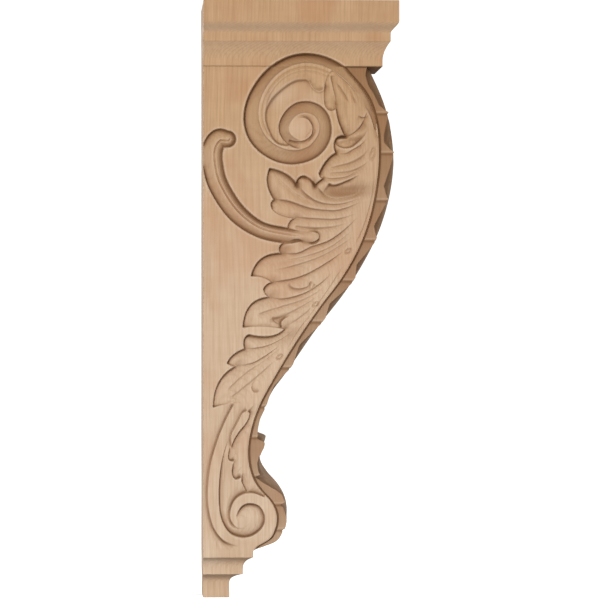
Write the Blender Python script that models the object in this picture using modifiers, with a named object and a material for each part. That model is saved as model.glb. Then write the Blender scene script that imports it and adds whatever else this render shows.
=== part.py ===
"""Carved wooden corbel bracket, one solid.

Frame: +X out from the wall, Y across the width, +Z up. The origin is the middle of the
flat back that lies against the wall. The block is a stack of level sections: a moulded
cap, an S-shaped body carved on both cheeks and on its front, and a foot with two coves.
The carving is drawn once on a cheek, in drawing millimetres, and stretched to the sizes.
"""

import bmesh
import bpy
import numpy as np

# Heights of the three stages, metres
CAP_HEIGHT = 0.072
BODY_HEIGHT = 0.535
FOOT_HEIGHT = 0.053

# Body
BODY_WIDTH = 0.13335
BODY_DEPTH = 0.215
FRONT_GROOVE = 0.0022

# Cap, from its bottom band up to its fascia; the band is set back from the deepest carving
CAP_SETBACK = 0.017
CAP_SIDE_STEP = 0.0015
CAP_BAND = 0.006
CAP_COVE = 0.0212
CAP_COVE_REACH = 0.0084
CAP_FILLET = 0.0085
CAP_OGEE = 0.0133
CAP_OGEE_REACH = 0.0089

# Foot, from the body down
FOOT_DEPTH = 0.0552
FOOT_BAND = 0.0071
UPPER_COVE = 0.0192
UPPER_COVE_REACH = 0.0112
LOWER_COVE = 0.0152
LOWER_COVE_REACH = 0.0148

# Depth of the carving into the cheek
LEAF_DROP = 0.0054
LEAF_CROWN = 0.0008
STEM_DROP = 0.0022
VOLUTE_DROP = 0.0055
VOLUTE_GROUND = 0.0030
TENDRIL_DROP = 0.0042
LINE_DEPTH = 0.0026
LINE_WIDTH = 0.0042
WALL_RUN = 0.0022

# Front leaf
FRONT_LOBES = 12.5
FRONT_LOBE_DEPTH = 0.0062
FRONT_SWEEP = 1.15
FRONT_EDGE = 0.10
LIP_ARCH = 24.0

# The drawing of a cheek: millimetres out from the wall and up from the foot
DRAWN_BOTTOM = 53.0
DRAWN_TOP = 588.0
DRAWN_DEPTH = 215.0

# Fineness of the section grid, and the share of triangles that is kept
CHEEK_COLUMNS = 88
FRONT_COLUMNS = 26
ROW_PITCH = 0.0020
KEPT_SHARE = 0.066

NODE_NAME = "carved_corbel"
WOOD_COLOUR = (0.60, 0.40, 0.25, 1.0)
WOOD_ROUGHNESS = 0.55

# Edge of the cheek and middle of the front, as (height, depth) stations of the drawing
CHEEK_EDGE = (
    (53.0, 55.2), (57.0, 58.5), (65.5, 72.0), (77.0, 79.0), (88.0, 81.0), (99.0, 79.0),
    (110.0, 72.5), (119.0, 64.0), (128.0, 57.5), (143.0, 51.5), (160.0, 49.3), (186.0, 52.5),
    (214.0, 62.0), (242.0, 77.0), (281.0, 100.5), (320.0, 127.0), (356.0, 154.0),
    (386.0, 171.0), (418.0, 183.0), (452.0, 190.5), (495.0, 194.0), (525.0, 191.5),
    (556.0, 181.0), (588.0, 155.0),
)
FRONT_MIDDLE = (
    (53.0, 55.2), (60.0, 76.0), (72.5, 89.5), (85.0, 93.8), (99.0, 94.5), (112.0, 91.5),
    (125.0, 84.0), (138.0, 72.5), (151.0, 65.0), (165.0, 66.0), (175.0, 70.5), (178.5, 70.5),
    (182.5, 61.5), (187.0, 61.8), (198.0, 64.5), (220.0, 73.5), (253.0, 97.0), (297.0, 127.5),
    (341.0, 161.5), (374.0, 182.0), (407.0, 198.0), (440.0, 208.5), (484.0, 214.5),
    (517.0, 212.0), (550.0, 204.0), (572.0, 195.0), (588.0, 187.0),
)

# Upper volute: centre, and radii of the outer edge at each eighth of a turn
VOLUTE_CENTRE = (108.0, 518.0)
VOLUTE_RADII = (82.0, 83.5, 83.2, 71.0, 61.0, 45.5, 36.0, 33.2, 32.8, 33.4, 30.2, 25.3, 23.4, 20.5)
VOLUTE_CRESTS = (9.0, 9.0, 9.3, 11.6, 17.0, 16.0, 13.6, 13.6, 12.0, 11.5, 11.5, 10.0, 9.0, 8.0)
VOLUTE_BANDS = (30.0, 30.0, 29.0, 27.0, 26.0, 21.0, 40.0, 40.0)

# Lower volute: its line winds inward from the stem
SCROLL_LINES = (
    ((34, 217.5), (17, 182), (6.5, 146), (4, 112), (10, 80), (22, 63.5), (38, 57.5)),
    ((33, 190), (24, 163), (18.5, 125), (20.5, 90), (29, 74.5), (49, 69), (62, 76),
     (67, 89), (60, 102), (47, 103.5), (38.5, 93)),
    ((42, 75), (31, 84), (30, 101), (42, 116.5), (61, 116.8), (76, 105.5), (80.5, 90),
     (77, 73), (66, 61)),
)

# Leaf lobes: root, bend and tip of the middle line, half width, and how blunt the tip is
LOBES = (
    ((152, 592), (139, 575), (139.5, 540.5), 7.5, 0.5),
    ((172, 583), (166, 545), (157, 511), 15.5, 1.0),
    ((188, 548), (183, 505), (147, 505), 5.0, 0.5),
    ((191, 530), (182, 474), (128.5, 470.5), 14.0, 0.9),
    ((192, 500), (176, 440), (128, 455), 8.0, 0.6),
    ((190, 480), (138, 424), (109, 466.5), 8.0, 0.5),
    ((189, 465), (112, 408), (73, 474.5), 13.5, 1.0),
    ((187, 455), (120, 416), (75, 433.5), 8.0, 0.5),
    ((184, 445), (140, 412), (94, 412), 8.6, 0.5),
    ((180, 430), (130, 392), (83.5, 386.5), 8.0, 0.6),
    ((176, 418), (108, 366), (53.5, 359), 14.5, 0.7),
    ((162, 388), (106, 342), (67, 341), 8.6, 0.8),
    ((148, 364), (88, 320), (44, 302), 15.0, 1.0),
    ((128, 336), (84, 281), (44.5, 283), 8.2, 0.5),
    ((114, 314), (64, 270), (26.5, 261), 8.4, 1.0),
    ((100, 294), (42, 252), (11.5, 212), 12.0, 1.0),
    ((60, 216), (48, 188), (28.5, 153), 7.0, 0.8),
    ((55, 206), (50, 165), (33.5, 133), 7.5, 0.8),
    ((52, 190), (53, 150), (45, 121), 6.5, 0.8),
)
STEM = ((158, 588), (196, 520), (184, 418), (148, 350), (112, 300), (78, 246), (54, 200), (48, 160), (58, 122))
STEM_HALF_WIDTH = 10.0

# Tendril: middle line from its root to its curled tip, and its half widths along it
TENDRIL = ((123, 400), (92, 401), (62, 408), (36, 427), (16, 456), (10.5, 488), (17, 509), (32, 505))
TENDRIL_WIDTHS = (6.0, 6.5, 8.0, 9.5, 10.5, 10.5, 6.5, 3.0)


def smoothstep(value):
    """Ease from 0 to 1 as value goes from 0 to 1."""
    held = np.clip(value, 0.0, 1.0)
    return held * held * (3.0 - 2.0 * held)


def through(stations, at):
    """Smooth value at the places `at` of a curve through (place, value) stations."""
    places, values = np.array(stations, dtype=float).T
    slopes = np.gradient(values, places)
    left = np.clip(np.searchsorted(places, at) - 1, 0, len(places) - 2)
    gap = places[left + 1] - places[left]
    t = np.clip((at - places[left]) / gap, 0.0, 1.0)
    start = (1 + 2 * t) * (1 - t) ** 2 * values[left] + t * (1 - t) ** 2 * gap * slopes[left]
    end = t * t * (3 - 2 * t) * values[left + 1] - t * t * (1 - t) * gap * slopes[left + 1]
    return start + end


def curve(points, count):
    """Points spread along a smooth curve through a few points of the drawing."""
    steps = np.arange(len(points))
    fine = np.linspace(0, len(points) - 1, count)
    return np.stack([through(list(zip(steps, column)), fine) for column in zip(*points)], axis=1)


def bent_line(root, bend, tip, count=18):
    """Points of the quadratic curve that leaves root towards bend and ends at tip."""
    t = np.linspace(0, 1, count)[:, None]
    root, bend, tip = (np.array(point, dtype=float) for point in (root, bend, tip))
    return (1 - t) ** 2 * root + 2 * t * (1 - t) * bend + t * t * tip


def along_line(x, z, line):
    """Distance to a line, signed by its side, and the share of the line at the nearest point."""
    best = np.full(x.shape, np.inf)
    side = np.zeros(x.shape)
    share = np.zeros(x.shape)
    last = len(line) - 1
    for number in range(last):
        (x0, z0), (dx, dz) = line[number], line[number + 1] - line[number]
        t = np.clip(((x - x0) * dx + (z - z0) * dz) / (dx * dx + dz * dz), 0.0, 1.0)
        off_x, off_z = x - x0 - t * dx, z - z0 - t * dz
        distance = np.hypot(off_x, off_z)
        nearer = distance < best
        best = np.where(nearer, distance, best)
        side = np.where(nearer, np.sign(dx * off_z - dz * off_x), side)
        share = np.where(nearer, (number + t) / last, share)
    return best * side, share


def lobe(x, z, root, bend, tip, half_width, bluntness):
    """Distance inside a leaf lobe's outline, and its surface height from the cheek plane."""
    offset, share = along_line(x, z, bent_line(root, bend, tip))
    widest = 0.62
    swell = 0.25 + 0.75 * smoothstep(share / widest)
    taper = np.clip((share - widest) / (1 - widest), 0.0, 1.0)
    width = half_width * swell * np.sqrt(np.clip(1 - taper ** (1.4 / bluntness + 0.6), 0.0, 1.0))
    inside = width - np.abs(offset)
    across = np.clip(np.abs(offset) / np.maximum(width, 0.5), 0.0, 1.0)
    height = -LEAF_CROWN - (LEAF_DROP - LEAF_CROWN) * across ** 2.2
    leaving = smoothstep((share - 0.12) / 0.45)
    return inside, height * leaving - STEM_DROP * (1 - leaving)


def leaves(x, z):
    """Leaf mass of a cheek: distance inside it, and the height of its surface."""
    stem_offset, _ = along_line(x, z, curve(STEM, 60))
    inside = STEM_HALF_WIDTH - np.abs(stem_offset)
    height = -STEM_DROP - (LEAF_DROP - STEM_DROP) * smoothstep(np.abs(stem_offset) / STEM_HALF_WIDTH)
    for shape in LOBES:
        lobe_inside, lobe_height = lobe(x, z, *shape)
        height = np.where(lobe_inside > 0, np.maximum(height, lobe_height), height)
        inside = np.maximum(inside, lobe_inside)
    return inside, height


def volute(x, z):
    """Upper volute: share of the surface that it takes, and its height."""
    radius = np.hypot(x - VOLUTE_CENTRE[0], z - VOLUTE_CENTRE[1])
    turn = np.mod(np.arctan2(z - VOLUTE_CENTRE[1], x - VOLUTE_CENTRE[0]) / (2 * np.pi), 1.0)
    mask = np.zeros(x.shape)
    height = np.zeros(x.shape)
    last = len(VOLUTE_RADII) - 1
    for winding in (0, 1):
        eighth = 8 * (turn + winding)
        steps = list(range(last + 1))
        edge = through(list(zip(steps, VOLUTE_RADII)), np.minimum(eighth, last))
        crest = through(list(zip(steps, VOLUTE_CRESTS)), np.minimum(eighth, last))
        inward = edge - radius
        rise = np.clip(inward / crest, 0.0, 1.0)
        ground = -VOLUTE_GROUND * smoothstep(8 * turn / 3.5)
        band = winding * ground - VOLUTE_DROP * (1 - 0.75 * rise ** 1.5)
        band = band + 0.0009 * smoothstep(inward - crest)
        if winding == 0:
            steps = list(range(len(VOLUTE_BANDS)))
            width = through(list(zip(steps, VOLUTE_BANDS)), np.minimum(eighth, steps[-1]))
            fall = smoothstep((inward - width + 3.0) / 6.0)
            band = band * (1 - fall) + ground * fall
        within = smoothstep(1 + inward / (WALL_RUN * 1000))
        if winding == 1:
            within = np.where(eighth > last, smoothstep(1 + (VOLUTE_RADII[-1] - radius) / 2.2), within)
        height = height * (1 - within) + band * within
        mask = np.maximum(mask, within)
    return mask, height


def tendril(x, z):
    """Tendril: distance inside its outline, and its height."""
    offset, share = along_line(x, z, curve(TENDRIL, 60))
    stations = list(zip(np.linspace(0, 1, len(TENDRIL_WIDTHS)), TENDRIL_WIDTHS))
    width = through(stations, share)
    across = np.clip(offset / width, -1.0, 1.0)
    ridge = 1 - np.clip(np.abs(across - 0.25) / np.where(across > 0.25, 0.75, 1.25), 0.0, 1.0) ** 1.6
    return width - np.abs(offset), -TENDRIL_DROP * (1 - 0.8 * ridge)


def scroll(x, z):
    """Grooves of the stem and of the lower volute that it winds into."""
    depth = np.zeros(x.shape)
    for points in SCROLL_LINES:
        offset, share = along_line(x, z, curve(points, 60))
        fade = smoothstep(share * 8) * smoothstep((1 - share) * 8)
        groove = np.clip(1 - np.abs(offset) / (LINE_WIDTH * 500), 0.0, 1.0)
        depth = np.maximum(depth, groove * fade)
    return -LINE_DEPTH * depth


def cheek_relief(x, z, edge):
    """Height of a cheek's surface from its plane, and the share that the volute takes."""
    mask, height = volute(x, z)
    height = height + scroll(x, z)
    inside, leaf_height = leaves(x, z)
    leaf_share = smoothstep(1 + inside / (WALL_RUN * 1000))
    height = height * (1 - leaf_share) + leaf_height * leaf_share
    inside, band_height = tendril(x, z)
    band_share = smoothstep(1 + inside / (WALL_RUN * 1000))
    height = height * (1 - band_share) + band_height * band_share
    edge_round = smoothstep(1 - (edge - x) / 3.0)
    return height - 0.0012 * edge_round, mask


def front_relief(height_share, across):
    """Height of the front leaf: paired lobes that sweep down and out from the midrib."""
    place = FRONT_LOBES * height_share - FRONT_SWEEP * across ** 0.9
    phase = np.mod(place, 1.0)
    crown = np.sin(np.pi * phase ** 0.75) ** 0.8
    rib = np.exp(-((across - 1) / 0.16) ** 2)
    margin = smoothstep(across / (FRONT_EDGE + 0.22 * (1 - crown)))
    return FRONT_LOBE_DEPTH * (1 - rib) * (margin * (0.4 + 0.6 * crown) - 1)


def cap_overhang():
    """Profile of the cap as (height above the body, overhang) pairs, bottom to top."""
    up = np.linspace(0, 1, 13)
    band = [(CAP_BAND * share, 0.0) for share in (0.0, 0.35, 0.7)]
    cove_top = CAP_BAND + CAP_COVE
    ogee_bottom = cove_top + CAP_FILLET
    cove = zip(CAP_BAND + CAP_COVE * up, CAP_COVE_REACH * up ** 2)
    ogee = zip(ogee_bottom + CAP_OGEE * up, CAP_COVE_REACH + CAP_OGEE_REACH * smoothstep(up))
    return [*band, *cove, *ogee, (CAP_HEIGHT, CAP_COVE_REACH + CAP_OGEE_REACH)]


def foot_inset():
    """Profile of the foot as (depth below the body, inset) pairs, top to bottom."""
    down = np.linspace(0, 1, 9) ** 1.8
    sweep = 1 - (1 - down) ** 4.5
    lower_start = FOOT_BAND + UPPER_COVE
    upper = zip(FOOT_BAND + UPPER_COVE * down, UPPER_COVE_REACH * sweep)
    lower = zip(lower_start + LOWER_COVE * down[1:], UPPER_COVE_REACH + LOWER_COVE_REACH * sweep[1:])
    return [(0.0, 0.0), *upper, *lower, (FOOT_HEIGHT, UPPER_COVE_REACH + LOWER_COVE_REACH)]


def drawn_depth(stations, z_drawn):
    """Depth in metres that a line of the drawing has at drawn heights."""
    return through(stations, z_drawn) * BODY_DEPTH / DRAWN_DEPTH


def body_rows(u, v):
    """Points of the carved body's half sections, from the foot up."""
    count = int(round(BODY_HEIGHT / ROW_PITCH))
    share = np.linspace(0, 1, count + 1)
    z_drawn = DRAWN_BOTTOM + (DRAWN_TOP - DRAWN_BOTTOM) * share[:, None]
    edge = drawn_depth(CHEEK_EDGE, z_drawn)
    arch = LIP_ARCH * (1 - v) ** 2 * np.exp(-((z_drawn - 170) / 30) ** 2)
    middle = drawn_depth(FRONT_MIDDLE, z_drawn + arch)
    to_drawing = DRAWN_DEPTH / BODY_DEPTH
    x = u * edge
    relief, _ = cheek_relief(x * to_drawing, z_drawn + 0 * x, edge * to_drawing)
    ends = smoothstep(share[:, None] * 40)
    relief = relief * ends
    cheek_y = BODY_WIDTH / 2 + relief
    swell = np.sin(np.pi / 2 * v) ** 0.55
    groove = FRONT_GROOVE * np.exp(-((v - 0.03) / 0.03) ** 2)
    carving = (front_relief(share[:, None], v) - groove) * ends
    front_x = edge + (middle - edge) * swell + carving
    front_y = cheek_y[:, -1:] * (1 - v)
    z = FOOT_HEIGHT + BODY_HEIGHT * share[:, None]
    return section_rows(x, cheek_y, front_x, front_y, z)


def cap_rows(u, v):
    """Points of the cap's half sections; the volute is sunk through its lowest moulding."""
    profile = cap_overhang()
    heights, reach = np.array(profile).T
    bottom = FOOT_HEIGHT + BODY_HEIGHT
    cap_depth = BODY_DEPTH - CAP_SETBACK
    edge = drawn_depth(CHEEK_EDGE, np.array([[DRAWN_TOP]]))
    x = u * edge
    shift = smoothstep((u - 0.965) / 0.035)
    x = x + shift * (cap_depth + reach[:, None] - edge)
    drawn_scale = (DRAWN_TOP - DRAWN_BOTTOM) / BODY_HEIGHT
    z_drawn = DRAWN_TOP + heights[:, None] * drawn_scale + 0 * x
    mask, relief = volute(x * DRAWN_DEPTH / BODY_DEPTH, z_drawn)
    plain = CAP_SIDE_STEP + reach[:, None]
    cheek_y = BODY_WIDTH / 2 + plain * (1 - mask) + relief * mask
    front_x = cap_depth + reach[:, None] + 0 * v
    front_y = cheek_y[:, -1:] * (1 - v)
    return section_rows(x, cheek_y, front_x, front_y, bottom + heights[:, None])


def foot_rows(u, v):
    """Points of the foot's half sections, from the underside up."""
    depths, inset = np.array(foot_inset()[::-1]).T
    reach = FOOT_DEPTH - inset[:, None]
    x = u * reach
    cheek_y = BODY_WIDTH / 2 - inset[:, None] + 0 * x
    front_y = cheek_y[:, -1:] * (1 - v)
    return section_rows(x, cheek_y, reach + 0 * v, front_y, FOOT_HEIGHT - depths[:, None])


def section_rows(x, cheek_y, front_x, front_y, z):
    """Rows of points that run along the cheek from the back and then over the front."""
    flat_x = np.concatenate([x, front_x], axis=1)
    flat_y = -np.concatenate([cheek_y, front_y], axis=1)
    return np.stack([flat_x, flat_y, z + 0 * flat_x], axis=2)


def half_mesh():
    """Half of the corbel, open at the middle plane."""
    u = np.linspace(0, 1, CHEEK_COLUMNS + 1)[None, :]
    v = np.linspace(0, 1, FRONT_COLUMNS + 1)[None, 1:]
    rows = np.concatenate([foot_rows(u, v)[:-1], body_rows(u, v), cap_rows(u, v)], axis=0)
    rows[:, :, 2] -= (FOOT_HEIGHT + BODY_HEIGHT + CAP_HEIGHT) / 2
    back = rows[:, :1, :] * (1.0, 0.0, 1.0)
    grid = np.concatenate([back, rows], axis=1)
    count, width = grid.shape[:2]
    number = np.arange(count * width).reshape(count, width)
    corners = (number[:-1, :-1], number[:-1, 1:], number[1:, 1:], number[1:, :-1])
    quads = np.stack(corners, axis=-1).reshape(-1, 4).tolist()
    ends = [number[0, ::-1].tolist(), number[-1].tolist()]
    mesh = bpy.data.meshes.new(NODE_NAME)
    mesh.from_pydata(grid.reshape(-1, 3).tolist(), [], quads + ends)
    return mesh


def tidy_mesh(mesh):
    """Merge the points that meet at the cap's underside and fill flat faces with triangles."""
    work = bmesh.new()
    work.from_mesh(mesh)
    bmesh.ops.remove_doubles(work, verts=work.verts, dist=0.00001)
    bmesh.ops.dissolve_degenerate(work, edges=work.edges, dist=0.00001)
    bmesh.ops.triangulate(work, faces=work.faces)
    work.to_mesh(mesh)
    work.free()


def wood():
    """Pale unfinished hardwood."""
    material = bpy.data.materials.new("pale_hardwood")
    material.use_nodes = True
    shader = material.node_tree.nodes["Principled BSDF"]
    shader.inputs["Base Color"].default_value = WOOD_COLOUR
    shader.inputs["Roughness"].default_value = WOOD_ROUGHNESS
    shader.inputs["Metallic"].default_value = 0.0
    return material


def build():
    """Make the corbel in a collection of its own."""
    for old in list(bpy.data.objects):
        bpy.data.objects.remove(old, do_unlink=True)
    collection = bpy.data.collections.new("wooden_corbel_bracket")
    bpy.context.scene.collection.children.link(collection)
    mesh = half_mesh()
    tidy_mesh(mesh)
    mesh.materials.append(wood())
    corbel = bpy.data.objects.new(NODE_NAME, mesh)
    collection.objects.link(corbel)
    mirror = corbel.modifiers.new("both_halves", "MIRROR")
    mirror.use_axis = (False, True, False)
    mirror.use_clip = True
    mirror.merge_threshold = 0.00001
    facets = corbel.modifiers.new("facets", "DECIMATE")
    facets.ratio = KEPT_SHARE
    facets.use_symmetry = True
    facets.symmetry_axis = "Y"
    return corbel


build()
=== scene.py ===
import logging
import math
from dataclasses import dataclass
from enum import Enum
from typing import Any, Callable, Iterable, Sequence

import bpy
import numpy as np
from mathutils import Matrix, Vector


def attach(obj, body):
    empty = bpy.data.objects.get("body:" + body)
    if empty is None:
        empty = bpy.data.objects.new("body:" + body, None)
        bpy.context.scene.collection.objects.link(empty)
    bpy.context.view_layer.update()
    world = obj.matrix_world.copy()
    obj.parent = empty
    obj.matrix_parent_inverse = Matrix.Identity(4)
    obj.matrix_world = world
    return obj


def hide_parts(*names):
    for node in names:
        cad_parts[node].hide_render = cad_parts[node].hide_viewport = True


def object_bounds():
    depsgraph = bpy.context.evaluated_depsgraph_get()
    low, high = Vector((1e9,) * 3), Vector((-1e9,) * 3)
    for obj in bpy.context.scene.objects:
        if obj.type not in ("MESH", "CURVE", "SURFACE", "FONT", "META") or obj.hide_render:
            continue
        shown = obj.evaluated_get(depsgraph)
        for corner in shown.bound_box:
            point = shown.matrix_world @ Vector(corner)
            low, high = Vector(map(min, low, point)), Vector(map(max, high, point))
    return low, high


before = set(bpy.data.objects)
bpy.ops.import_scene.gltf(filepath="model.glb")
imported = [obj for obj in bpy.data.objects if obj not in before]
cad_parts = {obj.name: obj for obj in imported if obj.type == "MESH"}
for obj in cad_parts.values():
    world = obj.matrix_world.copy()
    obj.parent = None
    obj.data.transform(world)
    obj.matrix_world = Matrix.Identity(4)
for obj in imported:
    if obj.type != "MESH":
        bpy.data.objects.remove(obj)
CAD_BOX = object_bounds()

# The cheek drawing is in millimetres: x out from the wall, z up from the foot's underside.
# The floor lies a gap below the foot, in metres
MM = 0.001
NODE = "carved_corbel"
LOG = logging.getLogger("corbel")
FLOOR_GAP = 0.0005

Array = np.ndarray
Point = tuple[float, float]
Triple = tuple[float, float, float]


class Cheek(Enum):
    """The two carved sides of the bracket, by the sign of their Y."""

    NEAR = -1
    FAR = 1


# Curves and blends


def smoothstep(value: Array | float, start: float = 0.0, width: float = 1.0) -> Array:
    """Ease from 0 at the start to 1 a width later: three t squared less two t cubed."""
    t = np.clip((value - start) / width, 0.0, 1.0)
    return t * t * (3.0 - 2.0 * t)


@dataclass(frozen=True)
class Bell:
    """A soft bump: its size times the exponential of less the square of the way from its
    middle in widths.
    """

    size: float
    middle: float
    width: float

    def at(self, value: Array) -> Array:
        """The bump's height at each value."""
        return self.size * np.exp(-(((value - self.middle) / self.width) ** 2))


def through(places: Sequence[float], values: Sequence[float], at: Array) -> Array:
    """Cubic Hermite curve through stations, with slopes taken from the neighbours.

    Args:
        places: rising positions of the stations.
        values: value at each station.
        at: positions where the curve is wanted.

    Returns:
        The value of the curve at each position, held beyond the ends.
    """
    place = np.asarray(places, dtype=float)
    value = np.asarray(values, dtype=float)
    slope = np.gradient(value, place)
    left = np.clip(np.searchsorted(place, at) - 1, 0, len(place) - 2)
    gap = place[left + 1] - place[left]
    t = np.clip((at - place[left]) / gap, 0.0, 1.0)
    start = (1 + 2 * t) * (1 - t) ** 2 * value[left] + t * (1 - t) ** 2 * gap * slope[left]
    end = t * t * (3 - 2 * t) * value[left + 1] - t * t * (1 - t) * gap * slope[left + 1]
    return start + end


def smooth_path(points: Sequence[Point], count: int) -> Array:
    """Rows of x and z spread along a smooth curve through a few points of the drawing."""
    fine = np.linspace(0, len(points) - 1, count)
    return np.stack([through(range(len(points)), side, fine) for side in zip(*points)], axis=1)


def beside_path(x: Array, z: Array, path: Array) -> tuple[Array, Array]:
    """Nearest point of a path: signed distance to it, and how far along it lies.

    Args:
        x: positions out from the wall.
        z: positions up from the foot.
        path: rows of x and z.

    Returns:
        The distance, positive to the left of the path's run, and the share of the path.
    """
    best = np.full(x.shape, np.inf)
    side = np.ones(x.shape)
    share = np.zeros(x.shape)
    last = len(path) - 1
    for number in range(last):
        (x0, z0), (dx, dz) = path[number], path[number + 1] - path[number]
        t = np.clip(((x - x0) * dx + (z - z0) * dz) / (dx * dx + dz * dz), 0.0, 1.0)
        off_x, off_z = x - x0 - t * dx, z - z0 - t * dz
        distance = np.hypot(off_x, off_z)
        nearer = distance < best
        best = np.where(nearer, distance, best)
        side = np.where(nearer, np.where(dx * off_z - dz * off_x < 0, -1.0, 1.0), side)
        share = np.where(nearer, (number + t) / last, share)
    return best * side, share


def near_path(x: Array, z: Array, path: Array, margin: float) -> Array:
    """Which positions lie in the path's bounding box grown by a margin."""
    low, high = path.min(axis=0) - margin, path.max(axis=0) + margin
    return (x > low[0]) & (x < high[0]) & (z > low[1]) & (z < high[1])


def crossed(x: Array, z: Array, path: Array) -> Array:
    """Whether a level ray towards greater x crosses the path an odd number of times.

    Args:
        x: positions out from the wall.
        z: positions up from the foot.
        path: rows of x and z.

    Returns:
        True where the count is odd.
    """
    odd = np.zeros(x.shape, dtype=bool)
    for (x0, z0), (x1, z1) in zip(path[:-1], path[1:]):
        if z0 != z1:
            between = (z >= min(z0, z1)) & (z < max(z0, z1))
            odd ^= between & (x < x0 + (x1 - x0) * (z - z0) / (z1 - z0))
    return odd


# What a carver cuts: edges, lines, pits and eyes

# How many soft lengths away a cut has died out, the points along each stretch of the outline,
# and the points along a line for each one that it is drawn by
REACH = 3.5
EDGE_POINTS = 12
LINE_POINTS = 9


@dataclass(frozen=True)
class LeafEdge:
    """One stretch of the leaf's outline, bent once, with the cut along its inside."""

    bend: Point
    end: Point
    depth: float
    soft: float

    def path(self, start: Point) -> Array:
        """The stretch: a quadratic curve that leaves its start towards the bend.

        Args:
            start: where the last stretch ended.

        Returns:
            Rows of x and z.
        """
        t = np.linspace(0, 1, EDGE_POINTS)[:, None]
        first, middle, last = (
            np.array(point, dtype=float) for point in (start, self.bend, self.end)
        )
        return (1 - t) ** 2 * first + 2 * t * (1 - t) * middle + t * t * last


@dataclass(frozen=True)
class CutLine:
    """A carved line, steep on its right and easing out on its left."""

    points: tuple[Point, ...]
    depth: float
    soft: float = 5.0
    wall: float = 2.0
    fade_in: float = 0.12
    fade_out: float = 0.12

    def depth_over(self, x: Array, z: Array) -> Array:
        """Depth of the cut: a wall on its right and a run that dies away on its left.

        On the left the depth falls off as the exponential of the distance over the soft
        length. It eases in and out at both ends of the line.

        Args:
            x: positions out from the wall.
            z: positions up from the foot.

        Returns:
            The depth at each position, never below 0.
        """
        path = smooth_path(self.points, LINE_POINTS * len(self.points))
        depth = np.zeros(x.shape)
        near = near_path(x, z, path, self.wall + REACH * self.soft)
        offset, share = beside_path(x[near], z[near], path)
        steep = smoothstep(1 + offset / self.wall)
        easing = np.exp(-np.maximum(offset, 0.0) / self.soft)
        ends = smoothstep(share / self.fade_in) * smoothstep((1 - share) / self.fade_out)
        depth[near] = self.depth * steep * easing * ends
        return depth


@dataclass(frozen=True)
class Oval:
    """A tilted oval on the drawing; its strength is a depth, or the share of a tint."""

    centre: Point
    radii: Point
    strength: float
    tilt: float = 0.0

    def distance(self, x: Array, z: Array) -> Array:
        """Distance from the centre, measured in the radii, so that it is 1 on the oval.

        Args:
            x: positions out from the wall.
            z: positions up from the foot.

        Returns:
            The distance.
        """
        turn = math.radians(self.tilt)
        off_x, off_z = x - self.centre[0], z - self.centre[1]
        along = off_x * math.cos(turn) + off_z * math.sin(turn)
        over = off_z * math.cos(turn) - off_x * math.sin(turn)
        return np.hypot(along / self.radii[0], over / self.radii[1])

    def bump(self, x: Array, z: Array) -> Array:
        """The strength times a bell of the distance."""
        return Bell(self.strength, 0.0, 1.0).at(self.distance(x, z))


class Pit(Oval):
    """A deep hole left by the point of the cutter."""

    def surface(self, x: Array, z: Array) -> Array:
        """Height of the hole, which is below 0."""
        return -self.bump(x, z)


@dataclass(frozen=True)
class Eye(Oval):
    """A small oval bead inside a cut ring."""

    radii: Point = (3.2, 1.9)
    strength: float = 1.1
    tilt: float = 35.0
    ring: float = 0.35

    def surface(self, x: Array, z: Array) -> Array:
        """Height of the ring: less the depth times a bell round one oval radius."""
        return -Bell(self.strength, 1.0, self.ring).at(self.distance(x, z))


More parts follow.
